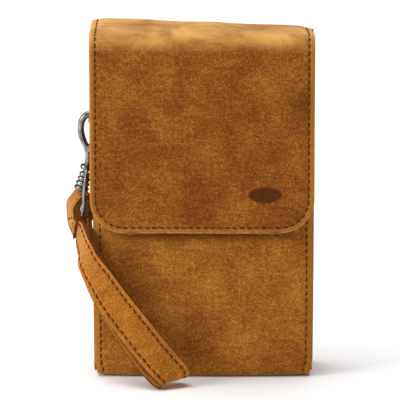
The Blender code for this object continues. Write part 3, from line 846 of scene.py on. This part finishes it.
def flap_columns():
    fine = [(-FLAP_HALF, -FLAP_HALF + 5 * MM, 0.34 * MM), (FLAP_HALF - 5 * MM, FLAP_HALF, 0.34 * MM),
            (MARK_X - MARK_HALF[0] - 2 * MM, MARK_X + MARK_HALF[0] + 2 * MM, 0.5 * MM)]
    return spaced(-FLAP_HALF, FLAP_HALF, 1.8 * MM, fine) / FLAP_HALF


def flap_runs(start, end):
    """Lengths at which the flap's rows lie, closer at folds, mark and foot."""
    mark = FLAP_LENGTH - (MARK_Z - FLAP_FOOT)
    reach = MARK_HALF[1] + 2 * MM
    zones = [(14 * MM, 27 * MM, 0.7 * MM), (48 * MM, 63 * MM, 0.7 * MM),
             (mark - reach, mark + reach, 0.5 * MM)]
    if end < FLAP_LENGTH:
        return spaced(start, end, 1.5 * MM, zones)
    above = spaced(start, end - FLAP_CORNER, 1.5 * MM, zones)
    turn = np.radians(np.linspace(0, 90, 64))[1:]
    return np.concatenate([above, end - FLAP_CORNER + FLAP_CORNER * np.sin(turn)])


def add_attribute(thing, name, values):
    layer = thing.data.attributes.new(name, "FLOAT", "POINT")
    count = len(thing.data.vertices)
    padded = np.zeros(count)
    padded[:min(count, len(values))] = values[:count]
    layer.data.foreach_set("value", padded.astype(np.float32))


def make_flap_piece(name, start, end, flat_rows):
    runs = flap_runs(start, end)
    columns = flap_columns()
    run = np.repeat(runs[:, None], len(columns), 1)
    across = flap_half(run) * columns[None, :]
    smooth = flap_surface(across, run)
    normals = grid_normals(smooth)
    rim = flap_rim(across, run)
    mark = pressed(smooth)
    points = smooth - normals * (groove(rim, STITCH_INSET) + 0.45 * MM * mark)[..., None]
    piece = thick_sheet(name, points, SUEDE, [SUEDE_FACE, SUEDE_BACK, RAW_EDGE],
                        np.stack([across, run], -1), edge_wear(rim), flat_rows)
    add_attribute(piece, "mark", mark.ravel())
    # painted sheen: marks the flap's top, to be painted paler where light grazes it
    roof_sheen = smoothstep(166 * MM, 174 * MM, smooth[..., 2])
    add_attribute(piece, "rubbed", roof_sheen.ravel())
    return piece


def make_flap_lining(name, start, end, inset, flat_rows):
    """Cloth bonded to the inside of the suede, a little short of its edges."""
    runs = flap_runs(start, end)
    columns = flap_columns()[::2]
    run = np.repeat(runs[::2, None], len(columns), 1)
    shrink = 1 - inset / FLAP_HALF
    across = flap_half(run) * columns[None, :] * shrink
    if end == FLAP_LENGTH:
        run = start + (run - start) * (1 - inset / (end - start))
    outer = flap_surface(across, run)
    points = outer - grid_normals(outer) * (SUEDE + 0.25 * MM)
    return thick_sheet(name, points, CLOTH, [CLOTH_FACE, CLOTH_FACE, CLOTH_FACE],
                       np.stack([across, run], -1), flat_rows=flat_rows)


def flap_stitch_line(start, end):
    """Path and normals of the stitch line down both sides, between two lengths."""
    runs = np.linspace(start, min(end, FLAP_LENGTH - FLAP_CORNER), 160)
    left = [(-(flap_half(r) - STITCH_INSET), r) for r in runs]
    right = [(-a, r) for a, r in left[::-1]]
    if end < FLAP_LENGTH:
        return [left, right]
    inner = FLAP_CORNER - STITCH_INSET
    turn = np.radians(np.linspace(0, 90, 40))[1:]
    base = FLAP_LENGTH - FLAP_CORNER
    middle = FLAP_HALF - FLAP_CORNER
    corner = [(-middle - inner * math.cos(a), base + inner * math.sin(a)) for a in turn]
    foot = [(x, base + inner) for x in np.linspace(-middle, middle, 80)[1:-1]]
    return [left + corner + foot + [(-a, r) for a, r in corner[::-1]] + right]


def surface_line(places, surface, step=0.2 * MM):
    """Points and normals of a surface at (across, run) places."""
    a, r = np.array(places).T
    here = surface(a, r)
    normals = unit(np.cross(surface(a, r + step) - here, surface(a + step, r) - here))
    return here - normals * GROOVE_DEPTH, normals


def make_flap():
    roof = make_flap_piece("flap_roof", 0.0, FLAP_MIDDLE, (-1,))
    fall = make_flap_piece("flap_fall", FLAP_MIDDLE, FLAP_LENGTH, (0,))
    roof_lining = make_flap_lining("flap_roof_lining", 22.5 * MM, FLAP_MIDDLE, 1.6 * MM, (-1,))
    fall_lining = make_flap_lining("flap_fall_lining", FLAP_MIDDLE, FLAP_LENGTH, 1.6 * MM, (0,))
    roof_threads, fall_threads = [], []
    for side, places in zip(("left", "right"), flap_stitch_line(1.5 * MM, FLAP_MIDDLE)):
        path, normals = surface_line(places, flap_surface)
        roof_threads.append(stitches(f"flap_roof_{side}_stitches", path, normals, THREAD_BROWN))
    path, normals = surface_line(flap_stitch_line(FLAP_MIDDLE, FLAP_LENGTH)[0], flap_surface)
    fall_threads.append(stitches("flap_fall_stitches", path, normals, THREAD_BROWN))
    roof_parts = [(roof, "suede"), (roof_lining, "lining")]
    roof_parts += [(thread, "thread") for thread in roof_threads]
    for part, slot in roof_parts:
        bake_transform(part)
        dress(part, None, slot)
    fall_parts = [(fall, "suede"), (fall_lining, "lining")]
    fall_parts += [(thread, "thread") for thread in fall_threads]
    for part, slot in fall_parts:
        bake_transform(part)
        dress(part, None, slot)
    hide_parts("flap_top")
    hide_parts("flap_top_lining")
    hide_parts("flap_front")
    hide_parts("flap_front_lining")
    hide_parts("flap_stitching")
    attach = [(a, 2.2 * MM) for a in np.linspace(-flap_half(0) + 3 * MM, flap_half(0) - 3 * MM, 60)]
    path, normals = surface_line(attach, flap_surface)
    dress(stitches("flap_back_seam_stitches", path, normals, THREAD_BROWN), "wallet_body", "thread")


# ---------------------------------------------------------------- body, gussets and inside

BODY_SHIFT = 0.2 * MM
WRAP_HALF = WRAP_HIGH.x - 0.1 * MM
FOOT_RADIUS = 2.8 * MM
SEAM_INSET = 3.4 * MM
FRONT_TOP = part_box("left_front_stitching")[1].z + 2 * MM


def wrap_profile():
    """Outer face of the body from the front's upper edge, down, under and up the back."""
    front, back = WRAP_LOW.y, WRAP_HIGH.y
    under = arc((front + FOOT_RADIUS, FOOT_RADIUS), FOOT_RADIUS, 180, 270, 16)
    rear = arc((back - FOOT_RADIUS, FOOT_RADIUS), FOOT_RADIUS, 270, 360, 16)
    start, end = [(front, FRONT_TOP)], [(back, WRAP_HIGH.z)]
    return by_length(np.concatenate([start, under, rear, end]), 2500)


WRAP_PROFILE = wrap_profile()
WRAP_LENGTH = float(np.linalg.norm(np.diff(WRAP_PROFILE, axis=0), axis=1).sum())
FRONT_RUN = FRONT_TOP - FOOT_RADIUS
UNDER_MIDDLE = FRONT_RUN + 0.5 * (WRAP_HIGH.y - WRAP_LOW.y)


def wrap_half(run):
    """Half the body's width: a little narrower round the underside, with rounded corners."""
    near = np.abs(run - UNDER_MIDDLE)
    waist = 0.3 * MM * (1 - smoothstep(0.0, 60 * MM, near))
    return WRAP_HALF - waist - 1.3 * MM * (1 - smoothstep(14 * MM, 22 * MM, near))


def wrap_surface(across, run):
    y, z = read_profile(WRAP_PROFILE, run / WRAP_LENGTH)
    tilt = np.abs(across) / WRAP_HALF
    facing = np.sign(y)
    upright = np.clip(np.abs(y) / abs(WRAP_LOW.y), 0, 1) ** 3
    crown = np.clip(1 - tilt ** 2.6, 0, 1)
    filled = 0.7 * MM + 1.5 * MM * (1 - smoothstep(46 * MM, 74 * MM, z))
    filled = filled * (0.35 + 0.65 * smoothstep(-2 * MM, 16 * MM, z))
    y = y + facing * upright * filled * crown
    turned_back = smoothstep(WRAP_HALF - 3.6 * MM, WRAP_HALF, np.abs(across))
    y = y - facing * upright * 1.1 * MM * turned_back
    y = y + facing * upright * 0.35 * MM * waves(across, run, 30 * MM, 1.7)
    y = y + facing * upright * 0.1 * MM * waves(across, run, 8 * MM, 6.3)
    lift = 1 - smoothstep(0.0, 16 * MM, z)
    z = z + lift * (1.2 * MM * tilt ** 4 + 0.3 * MM * waves(across, run, 22 * MM, 9.9) * tilt)
    return np.stack([across + BODY_SHIFT, y, np.maximum(z, 0.05 * MM)], -1)


def make_wrap():
    fine = [(-WRAP_HALF, -WRAP_HALF + 6 * MM, 0.4 * MM), (WRAP_HALF - 6 * MM, WRAP_HALF, 0.4 * MM)]
    columns = spaced(-WRAP_HALF, WRAP_HALF, 2.0 * MM, fine) / WRAP_HALF
    turns = [(FRONT_RUN - 3 * MM, FRONT_RUN + 9 * MM, 0.6 * MM),
             (WRAP_LENGTH - (WRAP_HIGH.z + 4 * MM), WRAP_LENGTH - WRAP_HIGH.z + 8 * MM, 0.6 * MM)]
    runs = spaced(0.0, WRAP_LENGTH, 2.0 * MM, turns)
    run = np.repeat(runs[:, None], len(columns), 1)
    across = wrap_half(run) * columns[None, :]
    smooth = wrap_surface(across, run)
    rim = wrap_half(run) - np.abs(across)
    points = smooth - grid_normals(smooth) * groove(rim, SEAM_INSET)[..., None]
    wear = 1 - smoothstep(2.4 * MM, 3.6 * MM, rim)
    wrap = thick_sheet("body_suede", points, SUEDE, [SUEDE_BODY, SUEDE_BACK, RAW_EDGE],
                       np.stack([across, run], -1), wear)
    # painted shadow: the body's front darkened in a band just under the flap's foot, kept in the mark
    # attribute
    painted_shadow = np.exp(-((smooth[..., 2] - FLAP_FOOT + FLAP_SHADOW_DROP) / FLAP_SHADOW_HEIGHT) ** 2)
    painted_shadow = painted_shadow * (smooth[..., 1] < 0)
    painted_shadow = painted_shadow * (1 - smoothstep(FLAP_HALF - FLAP_CORNER, FLAP_HALF - 6 * MM, np.abs(across)))
    add_attribute(wrap, "mark", painted_shadow.ravel())
    dress(wrap, "wallet_body", "suede", "body_wrap")
    spans = (("front", 1.5 * MM, FRONT_RUN + 2 * MM), ("back", WRAP_LENGTH - WRAP_HIGH.z + 2 * MM,
                                                       WRAP_LENGTH - 1.5 * MM))
    for face, start, end in spans:
        for side, sign in (("left", -1), ("right", 1)):
            places = [(sign * (float(wrap_half(r)) - SEAM_INSET), r)
                      for r in np.linspace(start, end, 200)]
            path, normals = surface_line(places, wrap_surface)
            line = stitches(f"{face}_{side}_seam_stitches", path, normals, THREAD_BROWN)
            dress(line, "wallet_body", "thread", f"{side}_{face}_stitching")


def make_gusset(side, sign):
    """A side folded in like a bellows, its flanges between the edges of front and back."""
    low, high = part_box(f"{side}_gusset")
    flange = WRAP_HALF - 0.6 * MM
    face = high.y
    heights = spaced(low.z, high.z, 2.5 * MM)
    near = [(flange, -face), (GUSSET_FLAT, -face), (GUSSET_TURN, -face + 0.3 * MM),
            (GUSSET_SHOULDER, -11.9 * MM), (GUSSET_WEB, -10.2 * MM), (GUSSET_WEB, -5.0 * MM)]
    far = [(x, -y) for x, y in reversed(near)]
    plan = by_length(smooth_path(near + [(GUSSET_WEB, 0.0)] + far, 6), 90)
    x = np.repeat(plan[None, :, 0], len(heights), 0)
    y = np.repeat(plan[None, :, 1], len(heights), 0)
    z = np.repeat(heights[:, None], len(plan), 1)
    webbed = 1 - smoothstep(47.2 * MM, 49.5 * MM, x)
    crease = np.exp(-((y - CHAIN_Y) / (1.6 * MM)) ** 2) * (1 - smoothstep(120 * MM, 136 * MM, z))
    x = x - webbed * (0.7 * MM * crease + 0.25 * MM * (waves(y, z, 15 * MM, 4.0 + sign) + 0.6))
    points = np.stack([sign * x, y, z], -1)
    if sign > 0:
        points = points[:, ::-1]
        y = y[:, ::-1]
    points = points[::-1]
    run = np.repeat(np.linspace(0, 0.045, len(plan))[None], len(heights), 0)
    piece = thick_sheet(f"{side}_gusset_suede", points, GUSSET, [SUEDE_GUSSET, SUEDE_BACK, RAW_EDGE],
                        np.stack([run, z], -1))
    dress(piece, "wallet_body", "suede", f"{side}_gusset")


def lofted(name, rings, materials, slots):
    """Closed rings of equal length joined in order, with its first and last ring filled."""
    count = len(rings[0])
    index = np.arange(len(rings) * count).reshape(len(rings), count)
    faces, kinds = [], []
    for row in range(len(rings) - 1):
        ahead = np.roll(index, -1, 1)
        faces += list(np.stack([index[row], ahead[row], ahead[row + 1], index[row + 1]], -1))
        kinds += [slots[row]] * count
    faces += [index[0][::-1], index[-1]]
    kinds += [slots[0], slots[-1]]
    vertices = np.concatenate(rings)
    around = np.cumsum(np.linalg.norm(np.diff(rings[0], axis=0, prepend=rings[0][:1]), axis=1))
    uv = np.stack([np.tile(around, len(rings)), vertices[:, 2]], -1) * UV_PER_METRE
    return new_mesh(name, vertices, faces, materials, kinds, uv)


def rounded_ring(half_x, half_y, radius, z):
    corners = [(1, 1, 0), (-1, 1, 90), (-1, -1, 180), (1, -1, 270)]
    points = []
    for sx, sy, turn in corners:
        centre = (sx * (half_x - radius), sy * (half_y - radius))
        points += [(x, y, z) for x, y in arc(centre, radius, turn, turn + 90, 9)]
    return np.array(points)


def make_lining_bag():
    low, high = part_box("lining_bag")
    hx, hy = high.x, high.y
    hem = high.z - 9 * MM
    outer = [(0.0, low.z), (0.0, low.z + 2 * MM), (0.0, 40 * MM), (0.0, 100 * MM), (0.0, hem - 1 * MM),
             (0.0, high.z - 0.5 * MM), (0.2 * MM, high.z)]
    inner = [(0.6 * MM, high.z), (0.95 * MM, high.z - 0.5 * MM), (0.95 * MM, hem + 0.3 * MM),
             (0.7 * MM, hem), (0.7 * MM, 100 * MM), (0.7 * MM, 40 * MM), (0.7 * MM, low.z + 0.7 * MM)]
    rings = [rounded_ring(hx - d, hy - d, 3 * MM, z) for d, z in outer]
    rings += [rounded_ring(hx - d, hy - d, 3 * MM, z) for d, z in inner]
    bag = lofted("lining_cloth_bag", rings, [CLOTH_FACE], [0] * len(rings))
    dress(bag, "wallet_body", "lining", "lining_bag")
    stitch_ring = rounded_ring(hx - 0.95 * MM, hy - 0.95 * MM, 3 * MM, hem + 1.2 * MM)
    inward = unit(np.sign(-stitch_ring) * np.abs(stitch_ring / (hx, hy, 1)) ** 8 * (1, 1, 0))
    line = stitches("lining_hem_stitches", by_length(np.concatenate([stitch_ring, stitch_ring[:1]]), 260),
                    by_length(np.concatenate([inward, inward[:1]]), 260), THREAD_BROWN)
    dress(line, "wallet_body", "thread")


def make_inside_panel(name, node):
    """A flat cloth panel inside, with a folded hem along its upper edge."""
    low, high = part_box(node)
    xs = spaced(low.x, high.x, 2.5 * MM)
    zs = spaced(low.z, high.z, 2.5 * MM, [(high.z - 6 * MM, high.z, 0.5 * MM)])[::-1]
    z = np.repeat(zs[:, None], len(xs), 1)
    x = np.repeat(xs[None], len(zs), 0)
    under_hem = 1 - smoothstep(high.z - 4.6 * MM, high.z - 4.2 * MM, z)
    thickness = (high.y - low.y) * 0.8
    y = low.y + 0.12 * MM * under_hem
    dip = 0.9 * MM * smoothstep(high.z - 10 * MM, high.z, z) * np.cos(np.pi * x / (2 * high.x))
    points = np.stack([x, y, z - dip], -1)
    panel = thick_sheet(name, points, thickness, [CLOTH_FACE] * 3, np.stack([x, z], -1))
    dress(panel, "wallet_body", "lining", node)
    along = np.linspace(low.x + 2 * MM, high.x - 2 * MM, 60)
    hem = high.z - 3.2 * MM - 0.85 * MM * np.cos(math.pi * along / (2 * high.x))
    row = np.stack([along, np.full(60, low.y + 0.04 * MM), hem], 1)
    line = stitches(name + "_stitches", row, np.tile((0.0, -1.0, 0.0), (60, 1)), THREAD_BROWN,
                    2.6 * MM, 2.1 * MM, 0.24 * MM)
    dress(line, "wallet_body", "thread")


def make_inside():
    make_lining_bag()
    for number in range(1, 5):
        make_inside_panel(f"card_slot_{number}", f"card_pocket_{number}")
    make_inside_panel("middle_divider", "divider_panel")


# ---------------------------------------------------------------- metal parts

def make_snap():
    """Both halves of the magnetic snap and the washer behind."""
    low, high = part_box("snap_socket")
    centre = ((low.x + high.x) / 2, 0.0, (low.z + high.z) / 2)
    flange = (high.x - low.x) / 2
    depth = high.y - low.y
    socket = [
        (0.001 * MM, depth), (4.7 * MM, depth), (5.0 * MM, depth - 0.3 * MM), (5.0 * MM, 0.7 * MM),
        (flange - 0.2 * MM, 0.6 * MM), (flange, 0.35 * MM), (flange - 0.25 * MM, 0.05 * MM),
        (5.6 * MM, 0.0), (5.2 * MM, 0.16 * MM), (4.6 * MM, 0.0), (2.8 * MM, 0.0), (2.4 * MM, 0.35 * MM),
        (2.4 * MM, depth - 0.4 * MM), (0.001 * MM, depth - 0.4 * MM),
    ]
    place = (centre[0], low.y, centre[2])
    dress(turned("snap_socket_part", socket, place, (0, 1, 0), GUNMETAL), "wallet_body", "gunmetal",
          "snap_socket")
    low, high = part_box("snap_socket_washer")
    radius = (high.x - low.x) / 2
    washer = [(1.5 * MM, 0.5 * MM), (radius - 0.1 * MM, 0.5 * MM), (radius, 0.4 * MM),
              (radius, 0.1 * MM), (radius - 0.1 * MM, 0.0), (1.5 * MM, 0.0)]
    dress(turned("snap_washer_part", washer, (centre[0], low.y, centre[2]), (0, 1, 0), GUNMETAL),
          "wallet_body", "gunmetal", "snap_socket_washer")
    low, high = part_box("snap_stud")
    reach = high.y - low.y
    plate = reach - 1.6 * MM
    stud = [
        (0.001 * MM, reach), (1.7 * MM, reach), (2.0 * MM, reach - 0.3 * MM), (2.0 * MM, plate + 0.2 * MM),
        (2.3 * MM, plate), (5.0 * MM, plate), (5.3 * MM, plate - 0.14 * MM), (5.6 * MM, plate),
        (flange - 0.3 * MM, plate), (flange, plate - 0.3 * MM), (flange, 0.1 * MM),
        (flange - 0.1 * MM, 0.0), (0.001 * MM, 0.0),
    ]
    dress(turned("snap_stud_part", stud, (centre[0], low.y, centre[2]), (0, 1, 0), GUNMETAL),
          "flap_front", "gunmetal", "snap_stud")


def make_ring_tab():
    """Suede loop round the ring's bar, both ends sewn to the gusset."""
    low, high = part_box("ring_tab")
    reach = RING_WIRE + 0.3 * MM + TAB_THICKNESS
    inner_x = high.x - TAB_THICKNESS
    places = [(TAB_OUTER_X, high.z), (TAB_OUTER_X, RING_BAR.z + 9 * MM),
              (-52.6 * MM, RING_BAR.z + 4.4 * MM)]
    bend = arc((RING_BAR.x, RING_BAR.z), reach, 172, 355, 26)
    rest = [(-48.6 * MM, RING_BAR.z + 2.6 * MM), (inner_x + 1.2 * MM, RING_BAR.z + 4 * MM),
            (inner_x, RING_BAR.z + 6 * MM), (inner_x, high.z)]
    path = by_length(smooth_path(np.concatenate([places, bend, rest]), 4), 90)
    ys = spaced(low.y, high.y, 0.6 * MM)
    x = np.repeat(path[:, :1], len(ys), 1)
    z = np.repeat(path[:, 1:], len(ys), 1)
    y = np.repeat(ys[None], len(path), 0)
    points = np.stack([x, y, z], -1)[:, ::-1]
    run = np.repeat(np.linspace(0, 0.05, len(path))[:, None], len(ys), 1)
    tab = thick_sheet("ring_tab_suede", points, TAB_THICKNESS, [SUEDE_FACE, SUEDE_BACK, RAW_EDGE],
                      np.stack([y, run], -1))
    dress(tab, "wallet_body", "suede", "ring_tab")
    half = (high.y - low.y) / 2 - 2 * MM
    bottom, top = high.z - 7 * MM, high.z - 2 * MM
    corners = np.array([(TAB_OUTER_X, CHAIN_Y - half, bottom), (TAB_OUTER_X, CHAIN_Y + half, bottom),
                        (TAB_OUTER_X, CHAIN_Y + half, top), (TAB_OUTER_X, CHAIN_Y - half, top)])
    line = stitches("ring_tab_stitches", by_length(np.concatenate([corners, corners[:1]]), 80),
                    np.tile((-1.0, 0.0, 0.0), (80, 1)), THREAD_BROWN, 2.4 * MM, 2.0 * MM, 0.26 * MM)
    dress(line, "wallet_body", "thread", "tab_stitching")


def make_ring():
    down = (RING_FOOT - RING_BAR).normalized()
    drop = (RING_FOOT - RING_BAR).length
    half = (RING_HIGH.y - RING_LOW.y) / 2 - RING_WIRE
    corner = 2.5 * MM
    outline = list(arc((-half + corner, -corner), corner, 180, 90, 10))
    outline += list(arc((half - corner, -corner), corner, 90, 0, 10))
    shoulder = drop - 7.0 * MM
    outline += [(a * half, -shoulder + b * 7.0 * MM) for a, b in arc((0, 0), 1.0, 0, -180, 40)]
    points = [RING_BAR + Vector((0, across, 0)) - down * up for across, up in outline]
    path = by_length(np.array([tuple(p) for p in points + points[:1]]), 141)[:-1]
    dress(tube("ring_wire", path, RING_WIRE, GUNMETAL, 20, True), "ring", "gunmetal", "d_ring")


def make_hook():
    """Snap hook: tapering nose, round bow, shank, gate cheeks and a collar of four beads."""
    route = [(-51.0, 127.0), (-51.5, 129.4), (-53.2, 131.3), (-55.6, 132.0), (-58.3, 131.0),
             (-60.3, 128.3), (-60.9, 124.4), (-60.4, 120.7), (-59.2, 117.3), (-57.8, 114.3),
             (-57.2, 111.3), (-57.3, 108.3)]
    end = NECK - NECK_AXIS * COLLAR_DROP
    points = [(x * MM, CHAIN_Y, z * MM) for x, z in route] + [tuple(NECK), tuple(NECK.lerp(end, 0.3))]
    path = by_length(smooth_path(points, 10), 120)
    share = np.linspace(0, 1, 120)
    radius = MM * (1.65 - 0.45 * (1 - smoothstep(0.0, 0.1, share)) - 0.1 * smoothstep(0.5, 0.62, share))
    body = tube("hook_bow", path, radius, GUNMETAL, 24)
    dress(body, "hook", "gunmetal", "snap_hook")
    profile = [(0.001 * MM, 0.0), (1.5 * MM, 0.0)]
    for radius, middle in COLLAR_BEADS:
        bead = arc((radius - 1.1, middle), 1.1, -90, 90, 12)
        profile += [(max(a, radius - 0.9) * MM, b * MM) for a, b in bead]
    profile += [(2.3 * MM, COLLAR_LENGTH), (0.001 * MM, COLLAR_LENGTH)]
    top = end + NECK_AXIS * COLLAR_LENGTH
    collar = turned("hook_collar", profile, top, -NECK_AXIS, GUNMETAL)
    collar.data.set_sharp_from_angle(angle=math.radians(75))
    dress(collar, "hook", "gunmetal")
    for number, y in enumerate((-1.65, 1.65)):
        cheek = [(0.62 * MM, -0.5 * MM), (1.7 * MM, -0.5 * MM), (1.9 * MM, -0.3 * MM),
                 (1.9 * MM, 0.3 * MM), (1.7 * MM, 0.5 * MM), (0.62 * MM, 0.5 * MM)]
        place = GATE_PIVOT + Vector((0, y * MM, 0))
        dress(turned(f"hook_cheek_{number + 1}", cheek, place, (0, 1, 0), GUNMETAL), "hook", "gunmetal")
    pin = [(0.001 * MM, -2.4 * MM), (0.75 * MM, -2.4 * MM), (0.85 * MM, -2.2 * MM), (0.6 * MM, -2.1 * MM),
           (0.6 * MM, 2.1 * MM), (0.85 * MM, 2.2 * MM), (0.75 * MM, 2.4 * MM), (0.001 * MM, 2.4 * MM)]
    dress(turned("gate_rivet", pin, GATE_PIVOT, (0, 1, 0), GUNMETAL, 24), "hook", "gunmetal", "gate_pin")


def make_gate():
    tip = Vector((-51.1 * MM, CHAIN_Y, 126.0 * MM))
    share = np.linspace(0, 1, 30)[:, None]
    start = GATE_PIVOT.lerp(tip, 0.05)
    path = np.array(start) * (1 - share) + np.array(tip) * share
    path[:, 0] += (0.35 * MM * np.sin(np.pi * share[:, 0]))
    radius = MM * (0.95 - 0.15 * share[:, 0])
    dress(tube("gate_bar", path, radius, GUNMETAL, 18), "gate", "gunmetal", "hook_gate")
    eye = [(0.75 * MM, -0.9 * MM), (1.35 * MM, -0.9 * MM), (1.5 * MM, -0.7 * MM), (1.5 * MM, 0.7 * MM),
           (1.35 * MM, 0.9 * MM), (0.75 * MM, 0.9 * MM)]
    dress(turned("gate_knuckle", eye, GATE_PIVOT, (0, 1, 0), GUNMETAL), "gate", "gunmetal")


def make_bail():
    """Swivelling stirrup: ring round the hook's neck, two bowed legs and the strap's bar."""
    half = 9.2 * MM
    places = [
        NECK + Vector((0, -2.9 * MM, 0)),
        NECK + Vector((0, -6.2 * MM, -0.6 * MM)),
        NECK + Vector((-0.2 * MM, -half + 0.6 * MM, -3.4 * MM)),
        NECK + Vector((-0.9 * MM, -half, -8.5 * MM)),
        BAIL_BAR + Vector((0.7 * MM, -half, 5.0 * MM)),
        BAIL_BAR + Vector((0, -half + 0.4 * MM, 0.8 * MM)),
        BAIL_BAR + Vector((0, -half + 1.6 * MM, 0)),
    ]
    mirrored = [Vector((p.x, 2 * CHAIN_Y - p.y, p.z)) for p in reversed(places)]
    path = by_length(smooth_path([tuple(p) for p in places + mirrored], 8), 160)
    dress(tube("bail_wire", path, BAIL_WIRE, GUNMETAL, 18), "bail", "gunmetal", "bail")
    hub = [(1.95 * MM, -0.8 * MM), (2.2 * MM, -1.1 * MM), (2.9 * MM, -1.1 * MM), (3.2 * MM, -0.7 * MM),
           (3.2 * MM, 0.7 * MM), (2.9 * MM, 1.1 * MM), (2.2 * MM, 1.1 * MM), (1.95 * MM, 0.8 * MM)]
    dress(turned("bail_swivel_ring", hub, NECK, NECK_AXIS, GUNMETAL), "bail", "gunmetal")


# ---------------------------------------------------------------- wrist strap

def strap_sections(steps):
    """Middle, across and outward directions and half width round the strap's closed loop."""
    places = [np.array(place) * MM for place, _, _ in STRAP_STATIONS]
    across = [unit(np.array(direction)) for _, direction, _ in STRAP_STATIONS]
    last = len(places) - 1
    first, full = STRAP_NECK_STATIONS
    widening = np.clip((np.arange(last + 1) - first) / (full - first), 0, 1)
    widths = (STRAP_NECK_WIDTH + (STRAP_WIDTH - STRAP_NECK_WIDTH) * widening)[:, None] * MM
    front, rear = [], []
    for index, (_, _, half_gap) in enumerate(STRAP_STATIONS):
        along = places[min(index + 1, last)] - places[max(index - 1, 0)]
        outward = unit(np.cross(along, across[index])) * half_gap * MM
        front.append(places[index] + outward)
        slip = STRAP_SLIP * smoothstep(6, 9, index) * (1 - smoothstep(13, 15, index))
        rear.append(places[index] - outward - across[index] * slip * MM)
    middles = smooth_path(front + rear[-2:0:-1], steps, True)
    sides = smooth_path(across + across[-2:0:-1], steps, True)
    widths = smooth_path(np.concatenate([widths, widths[-2:0:-1]]), steps, True)
    along = unit(np.roll(middles, -1, 0) - np.roll(middles, 1, 0))
    sides = unit(sides - along * np.sum(sides * along, axis=1, keepdims=True))
    return middles, sides, np.cross(along, sides), widths / 2


def strap_outline(thickness):
    """Cross-section of a strap ply: share of the half width, outward, is it the cut edge."""
    half, thick = STRAP_WIDTH / 2, thickness / 2
    fine = [(-half, -half + 4.0, 0.3), (half - 4.0, half, 0.3)]
    face = spaced(-half + 0.35, half - 0.35, 0.55, fine)
    line = np.abs(face) - (half - STRAP_STITCH)
    puff = 0.2 * (1 - (face / half) ** 2) - 0.32 * np.exp(-(line / 0.7) ** 2)
    upper = [(a, thick + p, False) for a, p in zip(face, puff)]
    edge = [(half - 0.08, thick - 0.22, True), (half, 0.4 * thick, True), (half - 0.12, 0.12, True),
            (half - 0.3, 0.0, True), (half - 0.12, -0.12, True), (half, -0.4 * thick, True),
            (half - 0.08, -thick + 0.22, True)]
    outline = upper + edge
    outline += [(-a, -b, kind) for a, b, kind in outline]
    return [(a / half, b * MM, kind) for a, b, kind in outline]


def strap_band(name, sections, outline, uneven_seed, closed):
    """A strap of this cross-section along the sections, closed into a loop or with cut ends."""
    middles, sides, outward, widths = sections
    shares = np.array([a for a, _, _ in outline])
    lifts = np.array([b for _, b, _ in outline])
    count, rows = len(outline), len(middles)
    run = np.concatenate([[0], np.cumsum(np.linalg.norm(np.diff(middles, axis=0), axis=1))])
    across = widths * shares[None, :]
    along = np.repeat(run[:, None], count, 1)
    uneven = 0.12 * MM * waves(along, across, 7 * MM, uneven_seed) * np.sign(lifts)[None, :]
    points = middles[:, None] + sides[:, None] * across[..., None]
    points = points + outward[:, None] * (lifts[None, :] + uneven)[..., None]
    index = np.arange(rows * count).reshape(rows, count)
    span = rows if closed else rows - 1
    nxt, ahead = np.roll(index, -1, 0), np.roll(index, -1, 1)
    quads = np.stack([index, ahead, np.roll(nxt, -1, 1), nxt], -1)[:span].reshape(-1, 4)
    cut = [outline[k][2] or outline[(k + 1) % count][2] for k in range(count)]
    faces, slots = list(quads), list(np.tile(np.array(cut, int), span))
    if not closed:
        faces += [index[0][::-1], index[-1]]
        slots += [1, 1]
    uv = np.stack([across + np.where(lifts[None, :] < 0, 0.05, 0.0), along], -1)
    rim = widths * (1 - np.abs(shares))[None, :]
    wear = 0.55 * (1 - smoothstep(0.3 * MM, 1.6 * MM, rim))
    return new_mesh(name, points.reshape(-1, 3), faces, [STRAP_FACE, STRAP_EDGE], slots,
                    uv.reshape(-1, 2) * UV_PER_METRE, wear.ravel())


def make_turn_back(sections):
    """The strap's end, brought round the bail and sewn down on its outer side."""
    first, last = TURN_BACK_SPAN
    rows = slice(first, last)
    middles, sides, outward, widths = (part[rows] for part in sections)
    height = (STRAP_THICKNESS + TURN_BACK_THICKNESS) / 2 * MM
    rise = smoothstep(0, TURN_BACK_RISE, np.arange(last - first))[:, None]
    lifted = middles + outward * height * rise
    outline = strap_outline(TURN_BACK_THICKNESS)
    end = strap_band("wrist_strap_turned_end", (lifted, sides, outward, widths), outline, 5.7, False)
    dress(end, "strap", "strap_suede")
    for number, back in enumerate(TURN_BACK_SEAMS):
        row = last - first - back
        reach = widths[row, 0] - STRAP_STITCH * MM
        shares = np.linspace(-1, 1, 24)[:, None]
        path = lifted[row] + sides[row] * reach * shares
        path = path + outward[row] * (TURN_BACK_THICKNESS / 2 + 0.1) * MM
        line = stitches(f"strap_end_stitches_{number + 1}", path, np.tile(outward[row], (24, 1)),
                        THREAD_BROWN)
        dress(line, "strap", "thread")


def make_strap():
    sections = strap_sections(STRAP_STEPS)
    middles, sides, outward, widths = sections
    strap = strap_band("wrist_strap_loop", sections, strap_outline(STRAP_THICKNESS), 2.2, True)
    dress(strap, "strap", "strap_suede", "wrist_strap")
    make_turn_back(sections)
    thick = STRAP_THICKNESS / 2 * MM
    for name, way, node in (("near", 1, "strap_near_stitching"), ("far", -1, "strap_far_stitching")):
        for face, sign in (("outer", 1), ("inner", -1)):
            offset = sides * way * (widths - STRAP_STITCH * MM)
            path = middles + offset + outward * sign * (thick - 0.12 * MM)
            line = stitches(f"strap_{name}_{face}_stitches", path, outward * sign, THREAD_BROWN,
                            cyclic=True)
            nodes = [node] if sign > 0 else []
            dress(line, "strap", "thread", *nodes)


make_camera()
make_studio()
make_wrap()
make_gusset("left", -1)
make_gusset("right", 1)
make_inside()
make_flap()
make_snap()
make_ring_tab()
make_ring()
make_hook()
make_gate()
make_bail()
make_strap()
